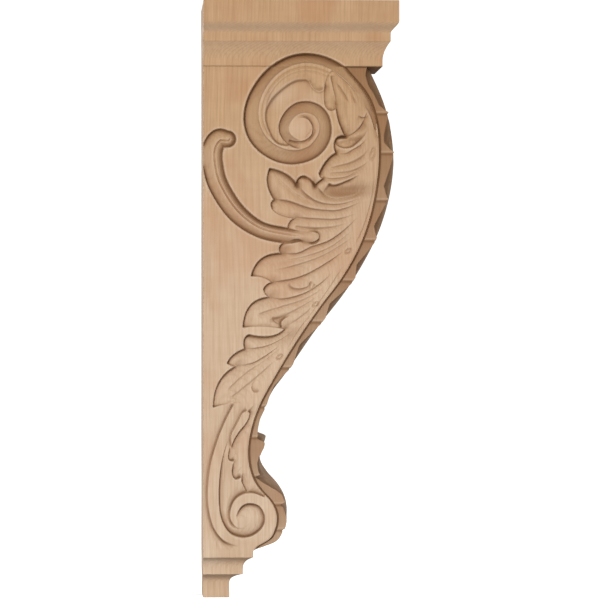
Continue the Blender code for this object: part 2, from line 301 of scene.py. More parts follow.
@dataclass(frozen=True)
class UpperVolute:
    """The volute under the cap, drawn by its sizes at each eighth of a turn."""

    centre: Point = (108.0, 518.0)
    radii: tuple[float, ...] = (
        82.0, 83.5, 83.2, 71.0, 61.0, 45.5, 36.0, 33.2, 32.8, 33.4, 30.2, 25.3, 23.4, 20.5, 20.0,
    )
    crests: tuple[float, ...] = (
        9.0, 9.0, 9.3, 11.6, 17.0, 16.0, 13.6, 13.6, 12.0, 11.5, 11.5, 10.0, 9.0, 8.0, 8.0,
    )
    depths: tuple[float, ...] = (
        5.0, 5.4, 5.6, 5.8, 6.0, 6.0, 5.6, 5.0, 4.6, 5.2, 7.0, 8.0, 7.6, 5.5, 0.5,
    )
    grounds: tuple[float, ...] = (0.0, 1.2, 4.2, 5.4, 5.8, 5.8)
    bands: tuple[Point, ...] = (
        (0, 30), (50, 32), (58, 33), (64, 38.5), (70, 38.5), (77, 35), (81, 30.5), (90, 28.5),
        (110, 28), (150, 23.5), (180, 25), (215, 20.5), (235, 23), (262, 36), (300, 40), (360, 40),
    )
    ripples: tuple[Bell, ...] = (Bell(0.7, 5.5, 0.8), Bell(0.5, 10.0, 0.8))
    flush: float = 0.5
    wall: float = 1.3
    step: float = 1.3
    cove_power: float = 1.3
    step_width: float = 0.8
    end_fade: float = 0.7
    fall: Point = (-1.5, 3.0)
    rounding: Point = (-9.0, 8.0)
    round_drop: float = 0.8

    def surface(self, x: Array, z: Array) -> tuple[Array, Array]:
        """Height of the volute: from its outer edge each winding rises inward as a cove.

        The rise goes with a power of the way to the crest line, where the surface steps
        up. Past the band's width the first winding falls to a ground that winds down
        from the cheek plane.

        Args:
            x: positions out from the wall.
            z: positions up from the foot.

        Returns:
            Share of the surface that the volute takes, and its height.
        """
        off_x, off_z = x - self.centre[0], z - self.centre[1]
        radius = np.hypot(off_x, off_z)
        turn = np.mod(np.arctan2(off_z, off_x) / (2 * np.pi), 1.0)
        mask = np.zeros(x.shape)
        height = np.zeros(x.shape)
        last = len(self.radii) - 1
        for winding in (0, 1):
            eighth = np.minimum(8 * (turn + winding), last)
            edge, crest, depth = (
                through(range(last + 1), sizes, eighth)
                for sizes in (self.radii, self.crests, self.depths)
            )
            inward = edge - radius
            rise = np.clip(inward / crest, 0.0, 1.0)
            step = self.step * smoothstep(depth, 0.5, 3.0)
            band = -self.flush - step - (depth - self.flush) * (1 - rise ** self.cove_power)
            band = band + step * smoothstep(inward, crest, self.step_width)
            within = smoothstep(1 + inward / self.wall)
            if winding == 0:
                band = self.outer_band(band, inward, crest, turn)
            else:
                within = within * smoothstep((last + 1 - 8 * (turn + winding)) / self.end_fade)
            height = height * (1 - within) + band * within
            mask = np.maximum(mask, within)
        return mask, height

    def outer_band(self, band: Array, inward: Array, crest: Array, turn: Array) -> Array:
        """The first winding with its ripples, rounded over where it falls to the ground.

        Args:
            band: height of the plain winding.
            inward: way in from its outer edge.
            crest: way from there to the crest line.
            turn: share of a full turn.

        Returns:
            The height.
        """
        degrees, widths = zip(*self.bands)
        beyond = inward - through(degrees, widths, 360 * turn)
        ground = -through(range(len(self.grounds)), self.grounds, np.minimum(8 * turn, 5))
        fall = smoothstep(beyond, *self.fall)
        round_over = self.round_drop * smoothstep(beyond, *self.rounding)
        for ripple in self.ripples:
            band = band - ripple.at(inward - crest)
        return (band - round_over) * (1 - fall) + ground * fall


@dataclass(frozen=True)
class Tendril:
    """The crook that leaves the leaves and curls over near the wall."""

    points: tuple[Point, ...] = (
        (121, 399.5), (108, 400.5), (92, 401), (62, 408), (36, 427), (17, 456), (10.5, 480),
        (10.5, 497), (17, 507.5), (27, 507.5),
    )
    half_widths: tuple[float, ...] = (7.0, 5.0, 7.5, 8.0, 9.5, 10.0, 10.3, 10.5, 10.0, 8.2)
    flush: float = 0.4
    drop: float = 4.8
    line: Bell = Bell(2.0, 0.0, 0.8)
    crest: float = -0.25
    wall: float = 1.3
    root: Point = (0.1, 0.12)
    root_drop: float = 2.0
    fine_points: int = 110

    def surface(self, x: Array, z: Array) -> tuple[Array, Array]:
        """Height of the crook: a broad hollow on its outside, a line, a narrow band within.

        The outer side falls with the square of the way from the crest line, the inner
        side almost evenly. The root is a plain round.

        Args:
            x: positions out from the wall.
            z: positions up from the foot.

        Returns:
            Share of the surface that it takes, and its height.
        """
        offset, share = beside_path(x, z, smooth_path(self.points, self.fine_points))
        stations = np.linspace(0, 1, len(self.half_widths))
        width = through(stations, self.half_widths, share)
        across = np.clip(offset / width, -1.0, 1.0)
        outer = np.clip((across - self.crest) / (1 - self.crest), 0.0, 1.0)
        inner = np.clip((self.crest - across) / (1 + self.crest), 0.0, 1.0)
        grown = smoothstep(share, *self.root)
        line = self.line.at((across - self.crest) * width)
        height = -self.flush - grown * (self.drop * (outer ** 2 + inner ** 1.2) + line)
        height = height - (1 - grown) * self.root_drop * across ** 2
        return smoothstep(1 + (width - np.abs(offset)) / self.wall), height


# The drawing: leaf edges as bend, end, depth and soft length; lines as points, depth, soft
# length, wall and the shares over which they ease in and out; ovals as centre, radii, strength
# and tilt
OUTLINE_START = (143.0, 583.0)
OUTLINE = tuple(LeafEdge(*row) for row in (
    ((136.5, 578), (134.8, 566), 1.2, 3), ((133.5, 556), (134.5, 548), 3.2, 4),
    ((136, 540), (141.5, 540), 3, 3), ((146.5, 540.5), (147, 546), 2.2, 3),
    ((147.5, 528), (157.5, 510.5), 4.6, 6), ((153, 511.5), (148, 509), 6, 3),
    ((142.5, 503), (147, 492), 4.4, 4), ((136, 487), (128.5, 470), 5.6, 7),
    ((129, 465.5), (133, 464), 1, 2), ((130, 462.5), (124, 457), 5, 3),
    ((119, 463), (112.5, 466), 3.4, 3), ((104, 467.5), (103, 457), 4.8, 4.5),
    ((94, 471), (73.5, 474.5), 4.6, 6.5), ((66.5, 458), (79, 440.5), 4.2, 5.5),
    ((74, 438), (75.5, 433), 4, 4), ((79, 423), (103, 420.5), 1.2, 3),
    ((94.5, 418), (94, 410), 3.6, 5), ((93.5, 407), (96, 404.5), 1.6, 3),
    ((93, 399), (91, 393.5), 0, 3), ((85, 391), (84.5, 387.5), 3.8, 3),
    ((84, 382), (89, 380.5), 2.4, 3), ((60, 383), (53.5, 357), 5.2, 8),
    ((68, 358), (77, 349), 1.3, 3), ((70, 348), (67, 342), 4.4, 5),
    ((68, 336), (74.5, 332.5), 1.8, 3), ((46, 332), (44.3, 300.5), 5.2, 8),
    ((66, 304), (91, 298.5), 1.4, 3), ((79, 284), (50.5, 291), 4.8, 6),
    ((43, 289), (46, 275.5), 4.8, 6), ((32, 271), (27, 260.5), 4.8, 6),
    ((32, 257.5), (38, 257), 1.2, 3), ((12, 246), (11.5, 212.5), 5.2, 8),
    ((20, 216), (34, 217.5), 1.4, 3), ((55, 216), (80, 214), 0, 3), ((180, 214), (260, 214), 0, 3),
    ((260, 400), (260, 508), 0, 3), ((225, 508), (192, 509), 0, 3),
    ((187, 531), (175, 551), 1.6, 3), ((165, 565), (143, 583), 1.6, 3),
))
CREASES = tuple(CutLine(*row) for row in (
    (((141, 580), (144, 566), (147, 553), (147, 546)), 2.8, 5, 2, 0.12, 0.02),
    (((161, 566), (157, 548), (157, 532), (160, 520)), 1.9, 4.5, 4, 0.4),
    (((184, 545), (180, 533), (174, 521), (165, 513), (157.5, 510.5)), 3, 5, 2, 0.4),
    (((145.5, 508), (148, 502), (155, 499), (163, 500), (170, 505), (178, 514), (184, 527)), 4.6, 7,
     2, 0.02, 0.4),
    (((184, 512), (176, 502), (167, 496), (157, 491), (147, 491.5)), 2.6, 4, 2, 0.4),
    (((187, 503), (178, 489), (165, 481), (150, 477), (136, 474)), 2.4, 4.5, 3.5, 0.4),
    (((188, 489), (178, 478), (163, 471), (148, 469.5), (137, 469)), 2.2, 4, 3.5, 0.4),
    (((172, 474), (160, 466), (148, 463.8), (138, 463.5), (131, 466)), 2.4, 2.5, 2, 0.12, 0.03),
    (((176, 470), (166, 464), (157, 460), (150, 457), (143, 455.8), (137, 459)), 5.2, 8, 2, 0.35),
    (((187, 462), (170, 447), (150, 441), (138, 443), (129, 450), (124, 457)), 2.4, 4.5, 2, 0.4,
     0.02),
    (((186, 452), (168, 440), (148, 435), (128, 437), (113, 446), (104, 457)), 2.8, 5, 2, 0.4,
     0.02),
    (((150, 433), (125, 436), (105, 444), (88, 458), (80, 466)), 1.9, 4.5, 4, 0.4),
    (((184, 443), (168, 435), (155, 430), (142, 428), (118, 430.5), (95, 438), (79, 440.5)), 3.2,
     5.5, 2, 0.35, 0.02),
    (((178, 428), (150, 419), (125, 419), (103, 420.5)), 2.6, 4.5, 2, 0.4, 0.02),
    (((172, 419), (150, 411), (130, 408), (110, 409), (99, 411)), 2.3, 4, 3.5, 0.4),
    (((176, 427), (160, 410), (140, 395), (120, 388), (105, 381), (89, 380.5)), 3.2, 5.5, 2, 0.35,
     0.02),
    (((172, 415), (158, 400), (140, 387), (120, 379), (98, 374), (76, 370)), 2.4, 4.5, 3.5, 0.3),
    (((170, 405), (160, 395), (145, 385), (128, 376), (105, 368), (85, 363), (64, 361)), 2.4, 4.5,
     3.5, 0.3, 0.3),
    (((164, 392), (148, 378), (130, 366), (113, 357), (97, 352), (77, 349)), 3, 5, 2, 0.35, 0.02),
    (((119, 353), (117, 345), (108, 341.5), (100, 342), (95, 346), (96, 352)), 2.3, 2.4),
    (((148, 366), (133, 350), (115, 338), (98, 332), (85, 330.5), (74.5, 332.5)), 3, 5, 2, 0.35,
     0.02),
    (((140, 352), (128, 339), (110, 329), (90, 322.5), (72, 317), (56, 311)), 2.4, 4.5, 3.5, 0.3),
    (((134, 342), (122, 330), (106, 320), (88, 311), (70, 306)), 2.2, 4, 3.5, 0.3),
    (((128, 335), (118, 319), (106, 309), (97, 303), (91, 298.5)), 1.8, 5, 3, 0.35, 0.3),
    (((86.5, 299.5), (85.3, 303), (85.9, 306.3), (88.5, 309.2), (93, 312.3), (99, 315)), 4.6, 3.6,
     1.2, 0.05, 0.4),
    (((76.6, 313.5), (77.2, 308.5), (80.5, 305.2), (85.2, 303.8)), 2.4, 3, 1.2, 0.3, 0.1),
    (((112, 308), (92, 290), (74, 280), (58, 276), (46, 275.5)), 2.8, 6, 2, 0.35, 0.02),
    (((100, 293), (78, 274), (60, 262), (48, 258), (38, 257)), 2.8, 5, 2, 0.35, 0.02),
    (((95, 285), (82, 273), (66, 261), (50, 250), (36, 238), (23, 224)), 2.5, 5, 3.5, 0.3),
    (((88, 272), (72, 255), (56, 241), (40, 228), (28, 219)), 2.1, 5, 3.5, 0.3),
    (((62, 246), (56, 240), (54, 234), (56, 229.5), (62, 229)), 2.2, 3, 1.4, 0.3),
    (((123, 349), (120, 341), (117.5, 344), (118.5, 351)), 1.8, 1.8),
    (((162, 545), (157, 555), (151, 564), (144, 573)), 2.6, 4.6, 1.6, 0.3, 0.3),
    (((171, 543), (167, 550), (163, 559), (158, 569), (149, 579)), 1.9, 3, 2.2, 0.3, 0.3),
    (((182, 536), (180.5, 543), (177, 550), (173, 558), (166, 567), (155, 577)), 2.2, 3.2, 1.4, 0.2,
     0.3),
    (((183, 536), (181.5, 532.5), (178, 531), (174, 531.5), (170, 534)), 2.4, 5, 1.2, 0.3, 0.3),
    (((169, 567), (174, 559), (178, 553), (182, 547)), 1.6, 1.4, 1),
    (((190, 470), (186, 440), (178, 412), (166, 386)), 1.5, 3, 1.6, 0.2, 0.2),
    (((158, 372), (140, 344), (122, 318), (104, 294), (88, 266)), 1.5, 3, 1.6, 0.2, 0.2),
))
BOARD_LINES = tuple(CutLine(*row) for row in (
    (((40, 57), (29, 60), (19, 66.5), (10, 80), (5, 100), (4, 120), (7, 148), (15, 176), (24, 198),
     (34, 217.5)), 3.4, 2.6, 1.3, 0.2, 0.03),
    (((33, 190), (24, 163), (19.5, 140), (18, 112), (20.5, 90), (29, 74.5), (42, 69), (54, 71), (64,
     79), (67, 90), (62, 101), (52, 104.5), (43, 101.5), (38, 93), (38, 86)), 4.8, 3.4, 1.4, 0.16,
     0.14),
    (((43, 75), (34, 80), (29, 89), (29.5, 100), (35, 111), (45, 117.3), (56, 117.6), (68, 113)),
     3.8, 2.8, 1.3, 0.25, 0.02),
    (((31, 163), (30, 180), (38, 197), (43, 206), (48.5, 208.5)), 2.6, 2.2, 1.3),
    (((49, 208.5), (52, 204), (48, 194), (40, 184), (34, 174), (30, 163)), 4.2, 3.6, 1.3),
    (((31, 172), (28.5, 161), (28.8, 154), (35, 153)), 4.2, 3, 1.2, 0.3),
    (((36, 156), (33, 146), (32.5, 138), (36, 133), (43, 136)), 4.2, 3, 1.2, 0.3),
    (((44, 140), (43, 131), (45, 125), (48, 119)), 4.2, 3, 1.2, 0.3, 0.02),
))
OVER_LINES = tuple(CutLine(*row) for row in (
    (((102, 531), (109, 532.5), (116, 530), (121, 522), (120, 512), (112, 505.5), (103, 504.5), (94,
     506.5)), 2.8, 1.8, 1.1, 0.25, 0.03),
    (((112, 407), (122, 406.3), (128, 403.5), (128.5, 398), (124, 394.3), (118, 392.6), (112,
     393.6), (104, 396.3), (95, 395)), 2.8, 3, 1.2, 0.2, 0.1),
    (((117, 573), (120, 567.5), (123.5, 563.5), (128, 562), (133, 564)), 1.6, 1.8, 1),
))
PITS = tuple(Pit(*row) for row in (
    ((160, 505), (11, 3.6), 3, 12), ((155, 450), (24, 6.5), 4.2, 3),
    ((176, 520), (3.5, 9), 1.2, -20), ((103.5, 458), (3, 5), 3, 20),
    ((123, 457.5), (2.8, 5), 3.5, 10), ((154, 510), (4.5, 1.6), 3),
    ((82.5, 307.5), (4.5, 3), 1.2, -20), ((30, 172), (3, 9), 1.6, -20),
))
# Soft ovals of painted shade: the hollow under the curled lip and the roots between lobes
SHADED_OVALS = tuple(Oval(*row) for row in (
    ((158, 450), (24, 6.5), 0.9, 4), ((97, 291), (14, 5), 0.5, 40), ((74, 550), (6, 14), 0.35),
    ((154, 512), (8, 6), 0.5), ((88, 388), (9, 4), 0.5, 15), ((82, 309), (8, 4), 0.5, 15),
))
# Soft ovals of painted light on the volute's ground and eye and on the lower scroll's eye
LIT_OVALS = tuple(Oval(*row) for row in (
    ((106, 520), (14, 14), 1), ((84, 556), (20, 13), 0.9, 25), ((121, 553), (14, 9), 0.6, -30),
    ((40, 95), (14, 14), 0.4),
))
EYES = tuple(Eye(*row) for row in (
    ((160, 384),), ((124, 325),), ((84, 267),), ((187, 491), (6, 2.2), 1, 75),
))


@dataclass(frozen=True)
class CheekCarving:
    """Everything that is cut into a cheek, as one height over the drawing."""

    volute: UpperVolute = UpperVolute()
    tendril: Tendril = Tendril()
    outline: tuple[LeafEdge, ...] = OUTLINE
    creases: tuple[CutLine, ...] = CREASES
    board_lines: tuple[CutLine, ...] = BOARD_LINES
    over_lines: tuple[CutLine, ...] = OVER_LINES
    details: tuple[Pit | Eye, ...] = PITS + EYES
    # Ovals of painted shade and of painted light, laid on the wood's colour
    shaded_ovals: tuple[Oval, ...] = SHADED_OVALS
    lit_ovals: tuple[Oval, ...] = LIT_OVALS
    leaf_foot: float = 214.0
    leaf_flush: float = 0.5
    leaf_wall: float = 1.3
    rim_drop: float = 0.7
    rim_width: float = 2.0

    def tint(self, ovals: tuple[Oval, ...], x: Array, z: Array) -> Array:
        """How strongly a tint lies on each place: the sum of soft ovals."""
        return sum(oval.bump(x, z) for oval in ovals)

    def leaves(self, x: Array, z: Array) -> tuple[Array, Array]:
        """The leaf mass: its outline's cuts and its creases, blended as a power mean.

        The cuts are added as cubes and the cube root is taken, so that where two cuts
        meet the surface is only a little deeper than the deeper one.

        Args:
            x: positions out from the wall.
            z: positions up from the foot.

        Returns:
            Distance inside the mass, and the height of its surface.
        """
        cubes = np.zeros(x.shape)
        distance = np.full(x.shape, 30.0)
        inside = np.zeros(x.shape, dtype=bool)
        start = OUTLINE_START
        for edge in self.outline:
            path = edge.path(start)
            inside ^= crossed(x, z, path)
            near = near_path(x, z, path, REACH * edge.soft)
            offset = np.abs(beside_path(x[near], z[near], path)[0])
            distance[near] = np.minimum(distance[near], offset)
            cubes[near] += (edge.depth * np.exp(-offset / edge.soft)) ** 3
            start = edge.end
        inside ^= crossed(x, z, np.array([start, OUTLINE_START]))
        for crease in self.creases:
            cubes += crease.depth_over(x, z) ** 3
        flush = self.leaf_flush * smoothstep(z, self.leaf_foot, 20)
        return np.where(inside, distance, -distance), -flush - np.cbrt(cubes)

    def relief(self, x: Array, z: Array, edge: Array) -> Array:
        """Height of the cheek: volute, lines, leaves, tendril and details in that order.

        Args:
            x: positions out from the wall.
            z: positions up from the foot.
            edge: how far out the cheek reaches at the same heights.

        Returns:
            The height from the cheek plane.
        """
        height = self.volute.surface(x, z)[1]
        height = height - np.cbrt(sum(line.depth_over(x, z) ** 3 for line in self.board_lines))
        inside, surface = self.leaves(x, z)
        share = smoothstep(1 + inside / self.leaf_wall)
        height = height * (1 - share) + surface * share
        share, surface = self.tendril.surface(x, z)
        height = height * (1 - share) + surface * share
        for line in self.over_lines:
            height = height - line.depth_over(x, z)
        for detail in self.details:
            height = height + detail.surface(x, z)
        return height - self.rim_drop * smoothstep(1 - (edge - x) / self.rim_width)


@dataclass(frozen=True)
class Block:
    """Sizes of the block that the bracket is carved from, in drawing millimetres."""

    body_bottom: float = 53.0
    body_top: float = 588.0
    top: float = 660.0
    half_width: float = 66.675
    cap_depth: float = 198.0
    cap_side_step: float = 1.5
    foot_depth: float = 55.2
    foot_fade: float = 4.0
    edge_heights: tuple[float, ...] = (
        53, 57, 65.5, 77, 88, 99, 110, 119, 128, 143, 160, 186, 214, 242, 281, 320, 356, 386, 418,
        452, 495, 525, 556, 588,
    )
    edge_depths: tuple[float, ...] = (
        55.2, 58.5, 72, 79, 81, 79, 72.5, 64, 57.5, 51.5, 49.3, 52.5, 62, 77, 100.5, 127, 154, 171,
        183, 190.5, 194, 191.5, 181, 155,
    )
    front_heights: tuple[float, ...] = (
        53, 60, 72.5, 85, 99, 112, 125, 138, 151, 165, 175, 178.5, 182.5, 187, 198, 220, 253, 297,
        341, 374, 407, 440, 484, 517, 550, 572, 588,
    )
    front_depths: tuple[float, ...] = (
        55.2, 76, 89.5, 93.8, 94.5, 91.5, 84, 72.5, 65, 66, 70.5, 70.5, 61.5, 61.8, 64.5, 73.5, 97,
        127.5, 161.5, 182, 198, 208.5, 214.5, 212, 204, 195, 187,
    )

    def edge(self, z: Array) -> Array:
        """How far out the cheek's edge stands at each height."""
        return through(self.edge_heights, self.edge_depths, z)

    def front(self, z: Array) -> Array:
        """How far out the middle of the front stands at each height."""
        return through(self.front_heights, self.front_depths, z)

    def levels(self, pitch: float) -> Array:
        """Heights up the body, a pitch apart, as a column."""
        count = round((self.body_top - self.body_bottom) / pitch) + 1
        return np.linspace(self.body_bottom, self.body_top, count)[:, None]

    def ease(self, z: Array) -> Array:
        """Fade of the carving near the foot, so that it meets the foot's plain band."""
        return smoothstep(z, self.body_bottom, self.foot_fade)

    def to_world(self, points: Array) -> Array:
        """Drawing millimetres to metres in the frame, whose origin is at half height."""
        return (points - np.array([0.0, 0.0, self.top / 2])) * MM


# Meshes


def read_numbers(items: Any, name: str, width: int = 1, kind: type = np.float32) -> Array:
    """Read one property of all the items of a mesh.

    Args:
        items: the vertices, corners or faces.
        name: the property.
        width: how many numbers each item has.
        kind: type of the numbers.

    Returns:
        One row for each item.
    """
    values = np.empty(len(items) * width, dtype=kind)
    items.foreach_get(name, values)
    return values.reshape(-1, width)


def ring_quads(count: int, width: int) -> tuple[Array, Array]:
    """Number the points of stacked rings and join each ring to the next.

    Args:
        count: how many rings there are.
        width: how many points each has.

    Returns:
        The point numbers ring by ring, and one row for each four-sided face.
    """
    number = np.arange(count * width).reshape(count, width)
    following = np.roll(number, -1, axis=1)
    quads = np.stack([number[:-1], following[:-1], following[1:], number[1:]], axis=-1)
    return number, quads.reshape(-1, 4)


@dataclass
class GridMesh:
    """A closed surface made of rings of points that are stacked and capped."""

    name: str
    rings: Array

    def build(self) -> bpy.types.Mesh:
        """Join the rings, close both ends and turn the faces outward.

        Returns:
            The mesh.
        """
        number, quads = ring_quads(*self.rings.shape[:2])
        width = number.shape[1]
        corners = np.concatenate([quads.ravel(), number[0, ::-1], number[-1]])
        sizes = np.concatenate([np.full(len(quads), 4), [width, width]])
        starts = np.concatenate([[0], np.cumsum(sizes)[:-1]])
        mesh = bpy.data.meshes.new(self.name)
        for items, name, values in (
            (mesh.vertices, "co", self.rings.reshape(-1, 3).astype(np.float32)),
            (mesh.loops, "vertex_index", corners.astype(np.int32)),
            (mesh.polygons, "loop_start", starts.astype(np.int32)),
        ):
            items.add(len(values))
            items.foreach_set(name, values.ravel())
        mesh.update(calc_edges=True)
        mesh.validate()
        if signed_volume(mesh) < 0:
            mesh.flip_normals()
        return mesh


def signed_volume(mesh: bpy.types.Mesh) -> float:
    """Volume inside the mesh's triangles, negative if they face inward.

    Args:
        mesh: a closed mesh.

    Returns:
        The sum of each triangle's triple product over six.
    """
    mesh.calc_loop_triangles()
    triangles = read_numbers(mesh.loop_triangles, "vertices", 3, np.int32)
    points = read_numbers(mesh.vertices, "co", 3).astype(float)
    a, b, c = points[triangles].transpose(1, 0, 2)
    return float((a * np.cross(b, c)).sum() / 6)


def thinned(mesh: bpy.types.Mesh, share: float) -> bpy.types.Mesh:
    """Collapse the edges that matter least until a share of the triangles is left.

    Args:
        mesh: the mesh, which is removed.
        share: share of the triangles to keep.

    Returns:
        The thinner mesh under the same name.
    """
    name = mesh.name
    holder = bpy.data.objects.new("holder", mesh)
    bpy.context.scene.collection.objects.link(holder)
    holder.modifiers.new("thin", "DECIMATE").ratio = share
    graph = bpy.context.evaluated_depsgraph_get()
    result = bpy.data.meshes.new_from_object(holder.evaluated_get(graph))
    bpy.data.objects.remove(holder)
    bpy.data.meshes.remove(mesh)
    result.name = name
    return result


def mirrored(mesh: bpy.types.Mesh, name: str) -> bpy.types.Mesh:
    """A copy of the mesh on the other side of the middle plane, its faces outward.

    Args:
        mesh: the mesh to mirror.
        name: name of the copy.

    Returns:
        The mirrored copy.
    """
    copy = mesh.copy()
    copy.name = name
    points = read_numbers(copy.vertices, "co", 3)
    points[:, 1] *= -1
    copy.vertices.foreach_set("co", points.ravel())
    copy.flip_normals()
    copy.update()
    return copy


def rows_of(x: Array, y: Array, z: Array) -> Array:
    """Grids of x, y and z as one grid of points, each stretched to the size of the largest."""
    return np.stack(np.broadcast_arrays(x, y, z), axis=2)


def both_halves(half: Array, overlap: int = 0) -> Array:
    """A row of numbers run forwards and then backwards, less an overlap at the turn."""
    return np.concatenate([half, half[:, ::-1][:, overlap:]], axis=1)


# Materials


class Nodes:
    """A shader tree, and the one way in which nodes are added to it."""

    def __init__(self, tree: bpy.types.NodeTree) -> None:
        """Keep the tree."""
        self.tree = tree

    def add(self, kind: str, values: Iterable[Any] = (), stops: Sequence[Any] = (),
            **settings: Any) -> Any:
        """Add a node, set it up and connect it.

        Args:
            kind: the node's type, less the words that every type starts with.
            values: for each input in turn a number, a colour, a socket, a Channel or None.
            stops: position and colour of each stop of a ramp.
            settings: the node's other properties.

        Returns:
            The node's outputs.
        """
        node = self.tree.nodes.new("ShaderNode" + kind)
        for name, value in settings.items():
            setattr(node, name, value)
        if stops:
            elements = node.color_ramp.elements
            while len(elements) < len(stops):
                elements.new(1.0)
            for element, (position, colour) in zip(elements, stops):
                element.position = position
                element.color = (*colour, 1.0)
        for socket, value in zip(node.inputs, values):
            self.feed(socket, value)
        return node.outputs

    def feed(self, socket: Any, value: Any) -> None:
        """Connect an input to something, or set its own value.

        Args:
            socket: the input.
            value: a Channel, a socket, a number, a colour, or None to leave it alone.
        """
        if isinstance(value, Channel):
            value = value.socket
        if isinstance(value, bpy.types.NodeSocket):
            self.tree.links.new(value, socket)
        elif value is not None:
            socket.default_value = value

    def mix(self, blend: str, factor: Any, first: Any, second: Any) -> Any:
        """The colour that a Mix node makes of two, with the second one's share as factor."""
        values = (factor, None, None, None, None, None, first, second)
        return self.add("Mix", values, data_type="RGBA", blend_type=blend)[2]

    def stored(self, name: str) -> "Channel":
        """A number that the mesh stores at each point."""
        return Channel(self, self.add("Attribute", attribute_name=name)[2])


def math_node(operation: str, swapped: bool = False) -> Callable[..., "Channel"]:
    """Make an operator that adds a Math node on a channel and another value.

    Args:
        operation: what the node does.
        swapped: whether the other value comes first.

    Returns:
        The operator.
    """
    def operator(channel: "Channel", other: Any = None) -> "Channel":
        """Add the node and wrap its output."""
        values = (other, channel) if swapped else (channel, other)
        return Channel(channel.nodes, channel.nodes.add("Math", values, operation=operation)[0])

    return operator


class Channel:
    """One number socket of a shader tree, with the operators that it needs."""

    def __init__(self, nodes: Nodes, socket: Any) -> None:
        """Wrap an output socket, with the tree that new nodes go into."""
        self.nodes = nodes
        self.socket = socket

    __add__ = __radd__ = math_node("ADD")
    __sub__ = math_node("SUBTRACT")
    __rsub__ = math_node("SUBTRACT", swapped=True)
    __mul__ = __rmul__ = math_node("MULTIPLY")
    __pow__ = math_node("POWER")
    sine = math_node("SINE")

    def held(self) -> "Channel":
        """The value held between 0 and 1."""
        return Channel(self.nodes, self.nodes.add("Clamp", (self, 0.0, 1.0))[0])


@dataclass(frozen=True)
class Noise:
    """Soft noise stretched along the grain, and its weight in the tone of the wood."""

    stretch: Triple
    scale: float
    detail: float
    weight: float = 0.0
    roughness: float = 0.55

    def over(self, nodes: Nodes, place: Any) -> Channel:
        """The noise at each place."""
        mapped = nodes.add("Mapping", (place, (0, 0, 0), (0, 0, 0), self.stretch))[0]
        values = (mapped, None, self.scale, self.detail, self.roughness)
        return Channel(nodes, nodes.add("TexNoise", values)[0])


